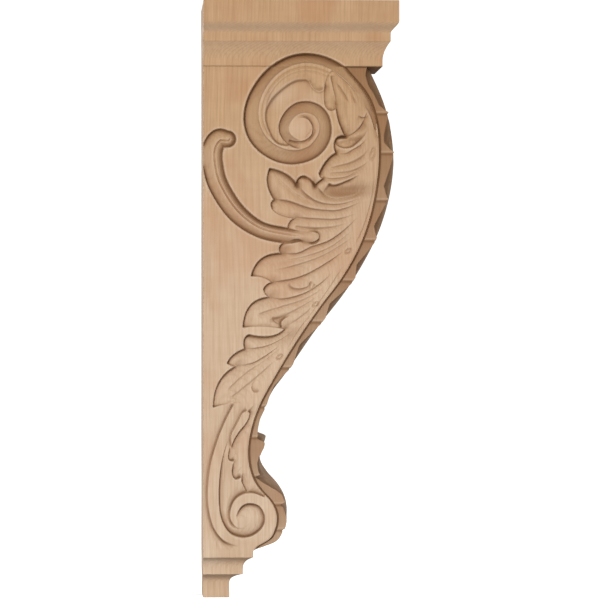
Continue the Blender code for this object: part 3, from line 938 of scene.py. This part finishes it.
@dataclass(frozen=True)
class Hardwood:
    """Sanded bare hardwood: growth rings, fine upright fibres, end grain and painted shade in the
    deep cuts.
    """

    name: str = "pale_hardwood_finish"
    tones: tuple[tuple[float, Triple], ...] = (
        (0.22, (0.48, 0.31, 0.195)), (0.70, (0.72, 0.56, 0.415)),
    )
    tone_shift: float = 0.13
    heights: tuple[tuple[float, Triple], ...] = (
        (0.0, (0.93, 0.87, 0.79)), (0.09, (1.0, 0.99, 0.97)), (0.30, (0.95, 0.92, 0.88)),
        (0.55, (0.90, 0.84, 0.77)), (0.85, (0.75, 0.615, 0.46)),
    )
    board: Noise = Noise((9.0, 9.0, 1.1), 2.2, 3.0, 0.38)
    streak: Noise = Noise((150.0, 150.0, 5.0), 3.0, 5.0, 0.50)
    fibre: Noise = Noise((900.0, 900.0, 22.0), 2.0, 4.0, 0.36)
    figure: Noise = Noise((14.0, 14.0, 120.0), 1.0, 3.0, 0.12)
    wander: Noise = Noise((7.0, 5.0, 0.9), 1.0, 2.0)
    patches: Noise = Noise((16.0, 16.0, 9.0), 1.0, 3.0)
    rings_per_metre: float = 3600.0
    ring_slant: float = 0.35
    ring_wander: float = 30.0
    ring_strength: float = 0.075
    figured_strength: float = 0.16
    blush: Triple = (0.56, 0.30, 0.17)
    blush_share: float = 0.34
    # Browner end grain under painted shade, in hollows and on leaning faces
    shade_and_end_grain_tint: Triple = (0.50, 0.37, 0.26)
    # A paler painted highlight on crests, lips and leaning mouldings
    worn_tint: Triple = (0.86, 0.72, 0.56)
    worn_share: float = 0.2
    # Dark painted shade in crevices, together with real burn from the cutter
    shade_and_burn_tint: Triple = (0.15, 0.07, 0.025)
    shade_and_burn_share: float = 0.8
    roughness: float = 0.5
    sheen: float = 0.18
    fibre_depth: float = 0.00005
    fibre_bump: float = 0.6
    height_parts: Triple = (0.5, 1.5, 0.3)
    blush_contrast: float = 8.0
    hollow_parts: Point = (0.75, 0.5)
    rough_parts: Triple = (0.22, 0.2, 0.12)

    def material(self) -> bpy.types.Material:
        """Build the node tree on Object coordinates and on what the pieces store.

        The pieces store, at each point, painted shade with burn in crevices, painted shade with
        end grain in hollows, a painted highlight, and the figure. A ramp over the grain gives the
        wood, one over the height tints it, and soft patches blush. Hollows and leaning faces show
        browner end grain under painted shade, crests are paler with a painted highlight, and
        crevices are dark with painted shade and real burn.

        Returns:
            The material.
        """
        material = bpy.data.materials.new(self.name)
        material.use_nodes = True
        nodes = Nodes(material.node_tree)
        shader = material.node_tree.nodes["Principled BSDF"].inputs
        place = nodes.add("TexCoord")[3]
        out, across, up = (Channel(nodes, axis) for axis in nodes.add("SeparateXYZ", (place,)))
        board, streak, fibre, figure, wander, patches = (
            noise.over(nodes, place) for noise in
            (self.board, self.streak, self.fibre, self.figure, self.wander, self.patches)
        )
        grain = self.board.weight * board + self.streak.weight * streak
        grain = grain + self.fibre.weight * fibre + self.figure.weight * figure
        strength = self.ring_strength + self.figured_strength * nodes.stored("figured")
        tone = grain - strength * self.rings(across, out, wander) - self.tone_shift
        colour = nodes.add("ValToRGB", (tone.held(),), self.tones)[0]
        middle, rise, waver = self.height_parts
        high = middle + rise * up + waver * (board - 0.5)
        tint = nodes.add("ValToRGB", (high.held(),), self.heights)[0]
        plain, streaked = self.hollow_parts
        hollow = (nodes.stored("hollow") * (plain + streaked * (streak - 0.5))).held()
        worn = nodes.stored("worn")
        shade_and_burn = (self.shade_and_burn_share * nodes.stored("crevice")).held()
        blushing = (self.blush_contrast * (patches - 0.5)).held() * self.blush_share
        # Painted shade browns the hollows, a painted highlight pales the crests, and painted shade
        # with real burn darkens the crevices
        for blend, share, second in (
            ("MIX", blushing, (*self.blush, 1.0)),
            ("MULTIPLY", 1.0, tint),
            ("MULTIPLY", hollow, (*self.shade_and_end_grain_tint, 1.0)),
            ("MIX", (self.worn_share * worn).held(), (*self.worn_tint, 1.0)),
            ("MIX", shade_and_burn, (*self.shade_and_burn_tint, 1.0)),
        ):
            colour = nodes.mix(blend, share, colour, second)
        nodes.feed(shader["Base Color"], colour)
        fibrous, crevice_roughness, highlight_gloss = self.rough_parts
        rough = self.roughness + fibrous * fibre + crevice_roughness * shade_and_burn - highlight_gloss * worn
        nodes.feed(shader["Roughness"], rough.held())
        nodes.feed(shader["Specular IOR Level"], self.sheen)
        bump = nodes.add("Bump", (self.fibre_bump, self.fibre_depth, None, fibre))[0]
        nodes.feed(shader["Normal"], bump)
        return material

    def rings(self, across: Channel, out: Channel, wander: Channel) -> Channel:
        """Thin late-wood lines: the fourth power of a sine of the way through the board."""
        phase = self.rings_per_metre * (across + self.ring_slant * out)
        return (0.5 + 0.5 * (phase + 2 * math.pi * self.ring_wander * wander).sine()) ** 4.0


# The pieces


@dataclass
class Piece:
    """What every carved piece shares: the block, the carving and the finish."""

    block: Block
    carving: CheekCarving
    finish: bpy.types.Material

    def shell(self, name: str, rings: Array) -> bpy.types.Mesh:
        """The closed mesh of stacked rings that are given in drawing millimetres."""
        return GridMesh(name, self.block.to_world(rings)).build()

    def carved(self, x: Array, z: Array) -> Array:
        """Height of the cheek's carving, faded out towards the foot."""
        return self.carving.relief(x, z, self.block.edge(z)) * self.block.ease(z)

    def dress(self, mesh: bpy.types.Mesh, sharp: float, **tones: Array) -> bpy.types.Object:
        """Make an object of the mesh, give it the finish and hang it in the frame.

        Args:
            mesh: the closed mesh.
            sharp: edges that turn by more degrees stay sharp.
            tones: for the finish, one number for each point under each name.

        Returns:
            The object.
        """
        for name, values in tones.items():
            attribute = mesh.attributes.new(name, "FLOAT", "POINT")
            attribute.data.foreach_set("value", values.astype(np.float32).ravel())
        mesh.shade_smooth()
        mesh.set_sharp_from_angle(angle=math.radians(sharp))
        mesh.materials.clear()
        mesh.materials.append(self.finish)
        piece = bpy.data.objects.new(mesh.name, mesh)
        bpy.context.scene.collection.objects.link(piece)
        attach(piece, "root")
        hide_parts(NODE)
        return piece


@dataclass
class Ground:
    """A height over a grid, from which the painted shade and painted highlight on the wood are
    read.

    Each tone has the half width of the window it looks at, the difference in height at
    which it starts and the further difference that makes it full.
    """

    height: Array
    pitch: float
    # Window sizes for painted shade with burn in crevices, the painted highlight on crests, and
    # painted shade with end grain in hollows
    crevice: Triple = (2.4, 0.4, 2.2)
    crest: Triple = (1.8, 0.15, 0.9)
    hollow: Triple = (4.5, 0.3, 3.4)
    crevice_power: float = 1.35
    out_share: float = 0.5
    low_share: float = 0.95
    lean_share: float = 0.75

    def below(self, sizes: Triple, sign: float = 1.0) -> Array:
        """How far each place lies below the ground around it, as a share from 0 to 1.

        The ground is the height averaged twice over a square window.

        Args:
            sizes: half window, first and further difference.
            sign: -1 for how far it lies above.

        Returns:
            The share over the grid.
        """
        reach, first, further = sizes
        cells = max(2, round(reach / self.pitch))
        ground = box_average(box_average(self.height, cells), cells)
        return np.clip((sign * (ground - self.height) - first) / further, 0.0, 1.0)

    def crevices(self) -> Array:
        """How much lower each place is than the ground close around it."""
        return self.below(self.crevice) ** self.crevice_power

    def crests(self) -> Array:
        """How much higher each place is than the ground close around it."""
        return self.below(self.crest, -1.0)

    def hollows(self) -> Array:
        """How brown a place is: painted shade where it lies low in its wider surroundings, and
        painted shade with browner end grain where it leans.

        The lean counts most along the grain, which runs up the drawing.

        Returns:
            The share over the grid, from 0 to 1.
        """
        up, out = (np.abs(np.gradient(self.height, axis=axis)) / self.pitch for axis in (0, 1))
        lean = (up + self.out_share * out) / np.sqrt(1 + up ** 2 + out ** 2)
        brown = self.low_share * self.below(self.hollow) + self.lean_share * lean
        return np.clip(brown, 0.0, 1.0)


def box_average(values: Array, reach: int) -> Array:
    """Average over a square window, by differences of running sums.

    Args:
        values: numbers over the grid.
        reach: half the window, in cells.

    Returns:
        The averages.
    """
    span = 2 * reach + 1
    for axis in (0, 1):
        edges = [(0, 0), (0, 0)]
        edges[axis] = (reach + 1, reach)
        sums = np.cumsum(np.pad(values, edges, mode="edge"), axis=axis)
        size = sums.shape[axis]
        ahead, behind = (
            np.take(sums, range(first, first + size - span), axis=axis) for first in (span, 0)
        )
        values = (ahead - behind) / span
    return values


def sampled(values: Array, row: Array, column: Array) -> Array:
    """Bilinear samples of a grid.

    Args:
        values: numbers over the grid.
        row: row positions, which may lie between rows.
        column: column positions.

    Returns:
        One number for each position.
    """
    row = np.clip(row, 0, values.shape[0] - 1.001)
    column = np.clip(column, 0, values.shape[1] - 1.001)
    r, c = row.astype(int), column.astype(int)
    down, right = row - r, column - c
    top, bottom = (values[n, c] * (1 - right) + values[n, c + 1] * right for n in (r, r + 1))
    return top * (1 - down) + bottom * down


def drawn_normals(height: Array, x: Array, z: Array) -> Array:
    """Outward normals of the near cheek: the slopes of the height over the drawing.

    The slope with z is taken along a column and put right for the column's own lean.

    Args:
        height: heights over the grid.
        x: positions out from the wall over the grid.
        z: positions up from the foot over the grid.

    Returns:
        One unit vector for each place.
    """
    along_x = np.gradient(height, axis=1) / np.maximum(np.gradient(x, axis=1), 1e-6)
    rise = np.gradient(z, axis=0)
    along_z = (np.gradient(height, axis=0) - along_x * np.gradient(x, axis=0)) / rise
    normals = np.stack([-along_x, -np.ones_like(height), -along_z], axis=2)
    return normals / np.linalg.norm(normals, axis=2, keepdims=True)


@dataclass
class CarvedCheeks(Piece):
    """Both carved cheeks, each a half of the body from its carved face to the middle."""

    pitch: float = 0.65
    kept: float = 0.34
    tool_mark: float = 0.03
    mark_turns: float = 1.5
    deepest: float = 12.0
    margins: Triple = (0.002, 0.004, 0.994)
    sharp: float = 50.0

    def build(self) -> list[bpy.types.Object]:
        """Carve the near cheek, thin it, and mirror it for the far one.

        Returns:
            The two objects.
        """
        block, carving = self.block, self.carving
        z = block.levels(self.pitch)
        columns = round(max(block.edge_depths) / self.pitch) + 1
        x = np.linspace(0, 1, columns) * block.edge(z)
        z = z + 0 * x
        height = self.carved(x, z)
        marks = np.sin(x * self.mark_turns) * np.sin(z * self.mark_turns) - 1
        y = -(block.half_width + height + self.tool_mark * marks * block.ease(z))
        surface = rows_of(x, y, z)
        middle = surface[:, [-1, 0]] * np.array([1.0, 0.0, 1.0])
        mesh = self.shell("near_carved_cheek", np.concatenate([surface, middle], axis=1))
        mesh = thinned(mesh, self.kept)
        points = read_numbers(mesh.vertices, "co", 3).astype(float) / MM
        level = points[:, 2] + block.top / 2
        share = points[:, 0] / block.edge(level)
        row = (level - block.body_bottom) / (block.body_top - block.body_bottom) * (len(z) - 1)
        place = (row, share * (columns - 1))
        back, first, last = self.margins
        carved = (points[:, 1] < self.deepest - block.half_width) & (share > back)
        ground = Ground(height, self.pitch)
        # Painted shade in crevices and hollows, ovals of painted shade, and a painted highlight on
        # crests and on ovals of painted light
        grids = {
            "crevice": ground.crevices(),
            "hollow": ground.hollows() + carving.tint(carving.shaded_ovals, x, z),
            "worn": ground.crests() + carving.tint(carving.lit_ovals, x, z),
        }
        tones = {
            name: sampled(np.clip(grid, 0, 1), *place) * carved for name, grid in grids.items()
        }
        normals = np.moveaxis(drawn_normals(height, x, z), 2, 0)
        custom = np.stack([sampled(axis, *place) for axis in normals], axis=1)
        custom = custom * (carved & (share > first) & (share < last))[:, None]
        far = mirrored(mesh, "far_carved_cheek")
        sides = {
            Cheek.NEAR: self.dress(mesh, self.sharp, **tones),
            Cheek.FAR: self.dress(far, self.sharp, **tones),
        }
        for side, piece in sides.items():
            set_drawn_normals(piece.data, custom * np.array([1.0, -side.value, 1.0]), side)
        return list(sides.values())


# A face that turns no further than this towards its own side is one of the flat ones
FLAT_FACING = 0.02


def set_drawn_normals(mesh: bpy.types.Mesh, vectors: Array, side: Cheek) -> None:
    """Shade the carved faces with given normals and leave the flat faces as they are.

    Args:
        mesh: the cheek's mesh, its sharp edges set.
        vectors: the normal at each point, or zero where it stays as it is.
        side: which cheek it is.
    """
    corners = read_numbers(mesh.loops, "vertex_index", 1, np.int32)[:, 0]
    facing = read_numbers(mesh.polygons, "normal", 3)[:, 1] * side.value
    sizes = read_numbers(mesh.polygons, "loop_total", 1, np.int32)[:, 0]
    carved = np.repeat(facing > FLAT_FACING, sizes)
    mesh.normals_split_custom_set((vectors[corners] * carved[:, None]).tolist())


@dataclass
class FrontLeaf(Piece):
    """The leaf that runs down the front, its scalloped edge standing proud of both cheeks."""

    row_pitch: float = 0.9
    pitch: float = 1.0
    side_steps: int = 17
    lips: tuple[float, ...] = (
        77.0, 105.0, 136.0, 179.0, 213.0, 256.0, 306.7, 352.0, 396.7, 440.7, 493.0, 537.0, 590.0,
    )
    reaches: tuple[Point, ...] = (
        (53, 0.5), (62, 0.9), (76, 0.8), (78, 0.92), (86, 0.88), (95, 0.7), (104.5, 0.6),
        (106.5, 0.84), (115.5, 0.87), (120, 0.75), (125, 0.55), (132, 0.2), (134, 0.12),
        (136.5, 0.45), (148, 0.66), (157, 0.78), (159.5, 0.95), (179, 0.97), (182, 0.8),
        (198, 0.7), (213, 0.95), (235, 0.42), (256, 0.95), (280, 0.38), (306.7, 0.97),
        (326, 0.45), (352, 0.97), (369, 0.45), (396.7, 0.95), (411.8, 0.4), (440.7, 0.8),
        (456, 0.42), (493, 0.86), (504.6, 0.28), (512, 0.3), (537, 0.88), (546, 0.42),
        (566, 0.4), (578, 0.6), (590, 0.92),
    )
    outs: tuple[float, ...] = (0.0, 0.4, 2.0, 2.8, 2.8)
    insets: tuple[float, ...] = (0.0, 3.6, 4.6, 3.0, 3.6)
    ledges: tuple[Bell, ...] = (Bell(0.8, 1.2, 1.2), Bell(-1.4, -1.6, 1.4))
    tip: Bell = Bell(1.0, 179.0, 8.0)
    arch: Bell = Bell(6.0, 170.0, 30.0)
    reach_power: float = 1.4
    widest: float = 0.84
    lobe_depth: float = 4.6
    lobe_power: float = 1.4
    lip_fall: float = 0.25
    lip_width: float = 0.05
    tuck: float = 0.03
    scallops: float = 0.13
    sweep: float = 0.9
    sweep_power: float = 0.9
    flutes: float = 0.12
    flute_count: int = 4
    flute_power: float = 0.8
    scallop_waves: float = 2.5
    midrib: float = 0.86
    crown_power: float = 0.75
    groove: Bell = Bell(0.35, 0.85, 0.035)
    sunk: float = 9.0
    # Painted shade on the side wall, along the valley line, under each lip and in each fold; a
    # painted highlight on each lip
    wall_tone: float = 0.72
    wall_line: Bell = Bell(0.75, 1.9, 0.9)
    under_lip: Bell = Bell(0.8, -1.9, 1.5)
    fold: Bell = Bell(0.8, 1.0, 0.045)
    lit_lip: Bell = Bell(0.8, 1.0, 0.8)
    sharp: float = 35.0

    @property
    def last(self) -> int:
        """Number of the last station before the crowned face."""
        return len(self.outs) - 1

    def lobe_number(self, z: Array) -> Array:
        """Which lobe a height lies in, counted up from the foot, with its share of the lobe."""
        return np.interp(z, self.lips, np.arange(len(self.lips)))

    def above_lip(self, z: Array) -> Array:
        """How far above its nearest lip a height lies, in millimetres."""
        nearest = np.round(self.lobe_number(z))
        return z - np.interp(nearest, np.arange(len(self.lips)), self.lips)

    def reach(self, z: Array, room: Array) -> Array:
        """How far the leaf's side wall stands out, with a small ledge over each lip.

        Args:
            z: heights in the drawing.
            room: how far the middle of the front stands past the cheek's edge.

        Returns:
            The reach past the valley beside the cheek.
        """
        heights, shares = zip(*self.reaches)
        ledge = sum(bell.at(self.above_lip(z)) for bell in self.ledges) * (1 - self.tip.at(z))
        share = np.interp(z, heights, shares) ** self.reach_power
        return np.clip(share * room + ledge, 0.2, self.widest * room)

    def phase(self, z: Array, across: Array) -> Array:
        """Where a place lies on its lobe: 0 on the lip, nearly 1 tucked under the next lip.

        A lobe's phase is its number less the sweep times the way across. The lip is
        scalloped by the size of a sine of the way across.

        Args:
            z: heights in the drawing.
            across: 0 at the leaf's side wall and 1 on the midrib.

        Returns:
            The phase.
        """
        waves = np.abs(np.sin(self.scallop_waves * np.pi * across)) * smoothstep(across, 0.9, -0.2)
        swept = self.lobe_number(z) - self.sweep * across ** self.sweep_power
        return np.mod(swept + self.scallops * waves, 1.0)

    def relief(self, z: Array, across: Array) -> Array:
        """Height over the front: lobes that sweep down and out from a plain midrib.

        Each lobe falls from its lip as a power of its phase, with fine flutes along it,
        and a groove runs down each side of the midrib.

        Args:
            z: heights in the drawing.
            across: 0 at the leaf's side wall and 1 on the midrib.

        Returns:
            The height to add.
        """
        phase = self.phase(z, across)
        under = (1 - phase) / self.tuck
        fall = phase ** self.lobe_power + self.lip_fall * np.exp(-phase / self.lip_width)
        fall = fall * smoothstep(under) + smoothstep(1 - under) * self.lip_fall
        turns = self.flute_count * phase ** self.flute_power
        flutes = self.flutes * (1 - np.cos(2 * np.pi * turns))
        lobes = (fall + flutes) * (1 - smoothstep(across, self.midrib, 0.05))
        return -self.lobe_depth * smoothstep(across, 0.0, 0.1) * (lobes + self.groove.at(across))

    def section(self, edge: Array, z: Array, steps: Array) -> tuple[Array, Array]:
        """Half of a section across the front: valley, side wall, then the crowned face.

        The first part follows the stations of outs and insets in straight lines, and the
        last of them stands out by the reach. The face rises from there to the middle as
        a power of a sine.

        Args:
            edge: the cheek's edge at each height.
            z: heights in the drawing.
            steps: station numbers along the section; past the last one they run over
                the face, up to one more.

        Returns:
            Position out from the wall, and the distance in from the cheek's plane.
        """
        block = self.block
        stations = np.arange(self.last + 1)
        share = np.clip(steps - self.last, 0.0, 1.0)
        fade = block.ease(z)
        lowered = block.front(z + (1 - share) ** 2 * self.arch.at(z))
        centre = np.maximum(lowered - edge, 2.0)
        reach = self.reach(z, np.maximum(centre - self.outs[-1], 0.4)) * fade
        out = np.interp(steps, stations, self.outs) * fade
        out = out + reach * np.clip(steps - self.last + 1, 0.0, 1.0)
        rest = centre - self.outs[-1] * fade - reach
        face = rest * np.sin(np.pi / 2 * share) ** self.crown_power
        inset = np.interp(steps, stations, self.insets)
        inset = inset * (0.15 + 0.85 * fade) + (block.half_width - inset) * share ** 1.15
        carved = self.relief(z, share) * fade * smoothstep(share, 0.0, 0.02)
        return edge + out + face + carved, np.where(share > 0, inset, np.minimum(inset, 5.0))

    def build(self) -> list[bpy.types.Object]:
        """Lay the front over the edge line and close it inside the cheeks.

        Returns:
            The one object.
        """
        block = self.block
        columns = round(block.half_width / self.pitch)
        face_steps = self.last + np.linspace(0, 1, columns)[1:]
        wall_steps = np.linspace(0, self.last, self.side_steps)
        steps = np.concatenate([wall_steps, face_steps])[None, :]
        z = block.levels(self.row_pitch)
        edge = block.edge(z)
        x, inset = self.section(edge, z, steps)
        inset = np.where(steps > self.last, inset * block.half_width / inset[:, -1:], inset)
        y = block.half_width + self.carved(edge, z) * np.clip(1 - steps, 0, 1) - inset
        surface = rows_of(both_halves(x, 1), both_halves(y, 1), z)
        surface[:, :x.shape[1], 1] *= -1
        side = block.half_width - self.sunk
        inner = [rows_of(edge - self.sunk, turn * side, z) for turn in (1, -1)]
        mesh = self.shell("front_leaf", np.concatenate([surface, *inner], axis=1))
        tones = {
            name: np.pad(both_halves(half, 1), ((0, 0), (0, len(inner))))
            for name, half in self.tones(z, steps).items()
        }
        return [self.dress(mesh, self.sharp, **tones)]

    def tones(self, z: Array, steps: Array) -> dict[str, Array]:
        """Dark painted shade, brown painted shade and painted highlight shares over half of the
        front.

        The valley beside the cheek, the underside of each lip, each fold and the rim of
        the face are dark with painted shade, the side wall is browner with painted shade low on
        each lobe, and each lip has a thin painted highlight along its edge.

        Args:
            z: heights in the drawing.
            steps: station numbers along the section.

        Returns:
            The shares by name.
        """
        share = np.clip(steps - self.last, 0, 1)
        above = self.above_lip(z)
        under = self.under_lip.at(above) * (steps > 2.2) * (share < 0.08)
        fold = self.fold.at(self.phase(z, share))
        fold = fold * (share > 0.03) * (share < self.midrib)
        rim = 0.4 * smoothstep(share, 0.32, -0.15) * (steps > self.last)
        face_tone = 1.0 - 0.6 * smoothstep(share, 0.2, 0.4)
        wall_tone = self.wall_tone + (1 - self.wall_tone) * np.mod(self.lobe_number(z), 1.0)
        on_wall = (steps > self.last - 1.2) & (steps <= self.last)
        # Painted shade in the valley, under the lips, in the folds and on the rim; a painted
        # highlight on the lips
        dark = np.maximum(np.maximum(self.wall_line.at(steps), rim), np.maximum(under, fold))
        light = self.lit_lip.at(above) * (steps > 2.6) * (share < 0.03)
        return {"crevice": dark, "hollow": np.where(on_wall, wall_tone, face_tone), "worn": light}


@dataclass
class MouldedCap(Piece):
    """The cap: band, cove, fillet, ogee and fascia, returned on both sides."""

    band: float = 6.0
    cove: float = 21.2
    cove_reach: float = 8.4
    fillet: float = 8.5
    ogee: float = 13.3
    ogee_reach: float = 8.9
    soft: float = 0.5
    band_points: int = 8
    curve_points: int = 28
    past_volute: float = 7.0
    turned: float = 0.965
    pitch: float = 0.8
    # A painted shadow line along the foot of the cap's lowest band
    shadow_line: Bell = Bell(0.55, 0.0, 0.7)
    sharp: float = 35.0

    def profile(self) -> tuple[Array, Array]:
        """Heights and overhangs of the cap, bottom to top.

        The cove's overhang goes with the square of its height, and the ogee's eases from
        the fillet to the fascia.

        Returns:
            Heights above the body and overhangs past the lowest band.
        """
        up = np.linspace(0, 1, self.curve_points)
        start = self.band + self.cove + self.fillet
        total = self.block.top - self.block.body_top
        reach = self.cove_reach + self.ogee_reach
        soft = self.soft
        heights = np.concatenate([
            np.linspace(0, self.band, self.band_points), self.band + self.cove * up[1:],
            start + self.ogee * up,
            [total - soft, total - 0.3 * soft, total],
        ])
        reaches = np.concatenate([
            np.zeros(self.band_points), self.cove_reach * up[1:] ** 2,
            self.cove_reach + self.ogee_reach * smoothstep(up),
            [reach, reach - 0.3 * soft, reach - soft],
        ])
        return heights[:, None], reaches[:, None]

    def build(self) -> list[bpy.types.Object]:
        """Stack rings round the cap, with the volute sunk through the lowest mouldings.

        Returns:
            The one object.
        """
        block = self.block
        heights, reach = self.profile()
        edge = block.edge(np.array([[block.body_top]])) + self.past_volute
        u = np.linspace(0, 1, round(edge.item() / self.pitch) + 1)[None, :]
        shift = smoothstep(u, self.turned, 1 - self.turned)
        x = u * edge + shift * (block.cap_depth + reach - edge)
        z = block.body_top + heights + 0 * x
        mask, relief = self.carving.volute.surface(x, z)
        mask = mask * (1 - shift)
        plain = block.cap_side_step + reach
        y = block.half_width + plain * (1 - mask) + relief * mask
        rings = rows_of(*(both_halves(side) for side in (x, -y, z)))
        rings[:, x.shape[1]:, 1] *= -1
        ground = Ground(y - block.half_width - plain, self.pitch)
        slopes = np.diff(reach[:, 0]) / np.diff(heights[:, 0])
        lean = np.minimum(np.append(slopes, 0.0), np.insert(slopes, 0, 0.0))[:, None]
        # How far each moulding leans out: a painted highlight on the ogee and cove against their
        # shade, and the grain's figure
        moulding_lean = np.clip(lean, 0, 0.9) * (1 - mask)
        # Painted shade in the volute's cuts and as a shadow line under the band; painted highlight
        # on crests and leaning mouldings
        grids = {
            "crevice": np.maximum(ground.crevices(), self.shadow_line.at(heights) * (1 - mask)),
            "hollow": ground.hollows() * smoothstep(mask),
            "worn": np.maximum(ground.crests(), moulding_lean), "figured": moulding_lean,
        }
        tones = {name: both_halves(grid) for name, grid in grids.items()}
        return [self.dress(self.shell("moulded_cap", rings), self.sharp, **tones)]


@dataclass
class SteppedFoot(Piece):
    """The foot: a plain band over two coves that step in on three sides."""

    band: float = 7.1
    upper_cove: float = 19.2
    upper_reach: float = 11.2
    lower_cove: float = 15.2
    lower_reach: float = 14.8
    cove_power: float = 4.5
    crowding: float = 1.8
    curve_points: int = 22
    side_points: int = 14
    corner: float = 0.4
    lowest: float = 0.5
    sharp: float = 35.0

    def profile(self) -> tuple[Array, Array]:
        """Heights and insets of the foot, bottom to top.

        Each cove's inset is one less a power of the way left to its end.

        Returns:
            Heights above the underside and insets from the body.
        """
        down = np.linspace(0, 1, self.curve_points) ** self.crowding
        sweep = 1 - (1 - down) ** self.cove_power
        total = self.block.body_bottom
        middle = total - self.band - self.upper_cove
        heights = np.concatenate([
            [total], total - self.band - self.upper_cove * down,
            middle - self.lower_cove * down[1:], [self.lowest, 0.0],
        ])
        full = self.upper_reach + self.lower_reach
        insets = np.concatenate([
            [0.0], self.upper_reach * sweep, self.upper_reach + self.lower_reach * sweep[1:],
            [full, full + self.corner],
        ])
        return heights[::-1, None], insets[::-1, None]

    def build(self) -> list[bpy.types.Object]:
        """Stack rectangular rings with slightly eased corners.

        Returns:
            The one object.
        """
        heights, insets = self.profile()
        share = np.linspace(0, 1, self.side_points)[None, :]
        depth = self.block.foot_depth - insets
        half = self.block.half_width - insets
        x = share * (depth - self.corner)
        near = rows_of(x, -half, heights)
        y = (2 * share - 1) * (half - self.corner)
        front = rows_of(depth, y, heights)
        far = near[:, ::-1] * np.array([1.0, -1.0, 1.0])
        mesh = self.shell("stepped_foot", np.concatenate([near, front, far], axis=1))
        plain = np.zeros(len(mesh.vertices))
        return [self.dress(mesh, self.sharp, crevice=plain, hollow=plain, worn=plain)]


# The studio


@dataclass(frozen=True)
class SoftLight:
    """A square soft light: where it stands, the length of its side and its power."""

    name: str
    place: Triple
    size: float
    power: float


@dataclass
class Studio:
    """Floor, backdrop, lights and camera.

    The camera stands at the photograph's viewpoint: square on, a little behind the wall
    plane.
    """

    floor_height: float
    camera_place: Triple = (-0.069, -3.987, 0.0)
    camera_target: Triple = (0.1067, -0.0667, 0.0)
    lens: float = 213.3
    lights: tuple[SoftLight, ...] = (
        SoftLight("key", (-1.1, -3.6, 1.1), 0.8, 72.0),
        SoftLight("low", (-0.9, -3.1, -0.25), 0.9, 30.0),
        SoftLight("fill", (2.9, -1.3, 0.9), 1.4, 25.0),
        SoftLight("rear", (-2.2, 2.6, 0.9), 1.4, 60.0),
    )
    light_target: Triple = (0.08, 0.0, 0.0)
    sky: float = 0.29
    floor_reach: float = 5.0
    floor_arc: float = 2.0
    wall_height: float = 6.0
    arc_points: int = 16
    round_points: int = 96
    sight: float = 50.0
    floor_finish: tuple[tuple[str, Any], ...] = (
        ("Base Color", (0.80, 0.80, 0.80, 1.0)), ("Roughness", 1.0), ("Specular IOR Level", 0.0),
        ("Emission Color", (1.0, 1.0, 1.0, 1.0)), ("Emission Strength", 0.86),
    )

    def build(self) -> None:
        """Make the sweep, the lights, the sky and the camera."""
        self.sweep()
        for light in self.lights:
            data = bpy.data.lights.new(light.name, "AREA")
            data.size, data.energy = light.size, light.power
            self.aim(data, light.place, self.light_target)
        scene = bpy.context.scene
        scene.world = bpy.data.worlds.new("soft_surround")
        scene.world.use_nodes = True
        background = scene.world.node_tree.nodes["Background"].inputs
        background["Color"].default_value = (1.0, 1.0, 1.0, 1.0)
        background["Strength"].default_value = self.sky
        scene.view_settings.view_transform = "Standard"
        data = bpy.data.cameras.new("view")
        data.lens, data.clip_end = self.lens, self.sight
        scene.camera = self.aim(data, self.camera_place, self.camera_target)

    def sweep(self) -> None:
        """Round floor that curves up into a wall: a profile turned about the upright axis.

        The profile is level out to the arc, follows a quarter circle and then stands up.
        It glows softly and throws no light on the bracket.
        """
        turn = np.linspace(0, np.pi / 2, self.arc_points)
        flat, arc = self.floor_reach, self.floor_arc
        radius = np.concatenate([[0.01], flat + arc * np.sin(turn), [flat + arc]])[:, None]
        height = np.concatenate([[0.0], arc - arc * np.cos(turn), [self.wall_height]])[:, None]
        around = np.linspace(0, 2 * np.pi, self.round_points + 1)[:-1]
        grid = rows_of(radius * np.cos(around), radius * np.sin(around), height + self.floor_height)
        number, quads = ring_quads(*grid.shape[:2])
        mesh = bpy.data.meshes.new("studio_sweep")
        mesh.from_pydata(grid.reshape(-1, 3).tolist(), [], [number[0].tolist()] + quads.tolist())
        mesh.flip_normals()
        mesh.shade_smooth()
        material = bpy.data.materials.new("pale_sweep")
        material.use_nodes = True
        for name, value in self.floor_finish:
            material.node_tree.nodes["Principled BSDF"].inputs[name].default_value = value
        mesh.materials.append(material)
        floor = bpy.data.objects.new("studio_sweep", mesh)
        floor.visible_diffuse = floor.visible_glossy = floor.visible_shadow = False
        bpy.context.scene.collection.objects.link(floor)

    def aim(self, data: bpy.types.ID, place: Triple, target: Triple) -> bpy.types.Object:
        """Stand a light or a camera at a place, facing a target.

        Args:
            data: the light or the camera.
            place: where it stands.
            target: what it faces.

        Returns:
            The object.
        """
        item = bpy.data.objects.new(data.name, data)
        item.location = place
        item.rotation_euler = (Vector(target) - Vector(place)).to_track_quat("-Z", "Y").to_euler()
        bpy.context.scene.collection.objects.link(item)
        return item


def main() -> None:
    """Build the studio and the pieces."""
    logging.basicConfig(level=logging.INFO, format="%(message)s")
    parts = (Block(), CheekCarving(), Hardwood().material())
    Studio(floor_height=CAD_BOX[0][2] - FLOOR_GAP).build()
    for kind in (CarvedCheeks, FrontLeaf, MouldedCap, SteppedFoot):
        for piece in kind(*parts).build():
            mesh = piece.data
            LOG.info("%s: %d points, %d faces", piece.name, len(mesh.vertices), len(mesh.polygons))


if __name__ == "__main__":
    main()
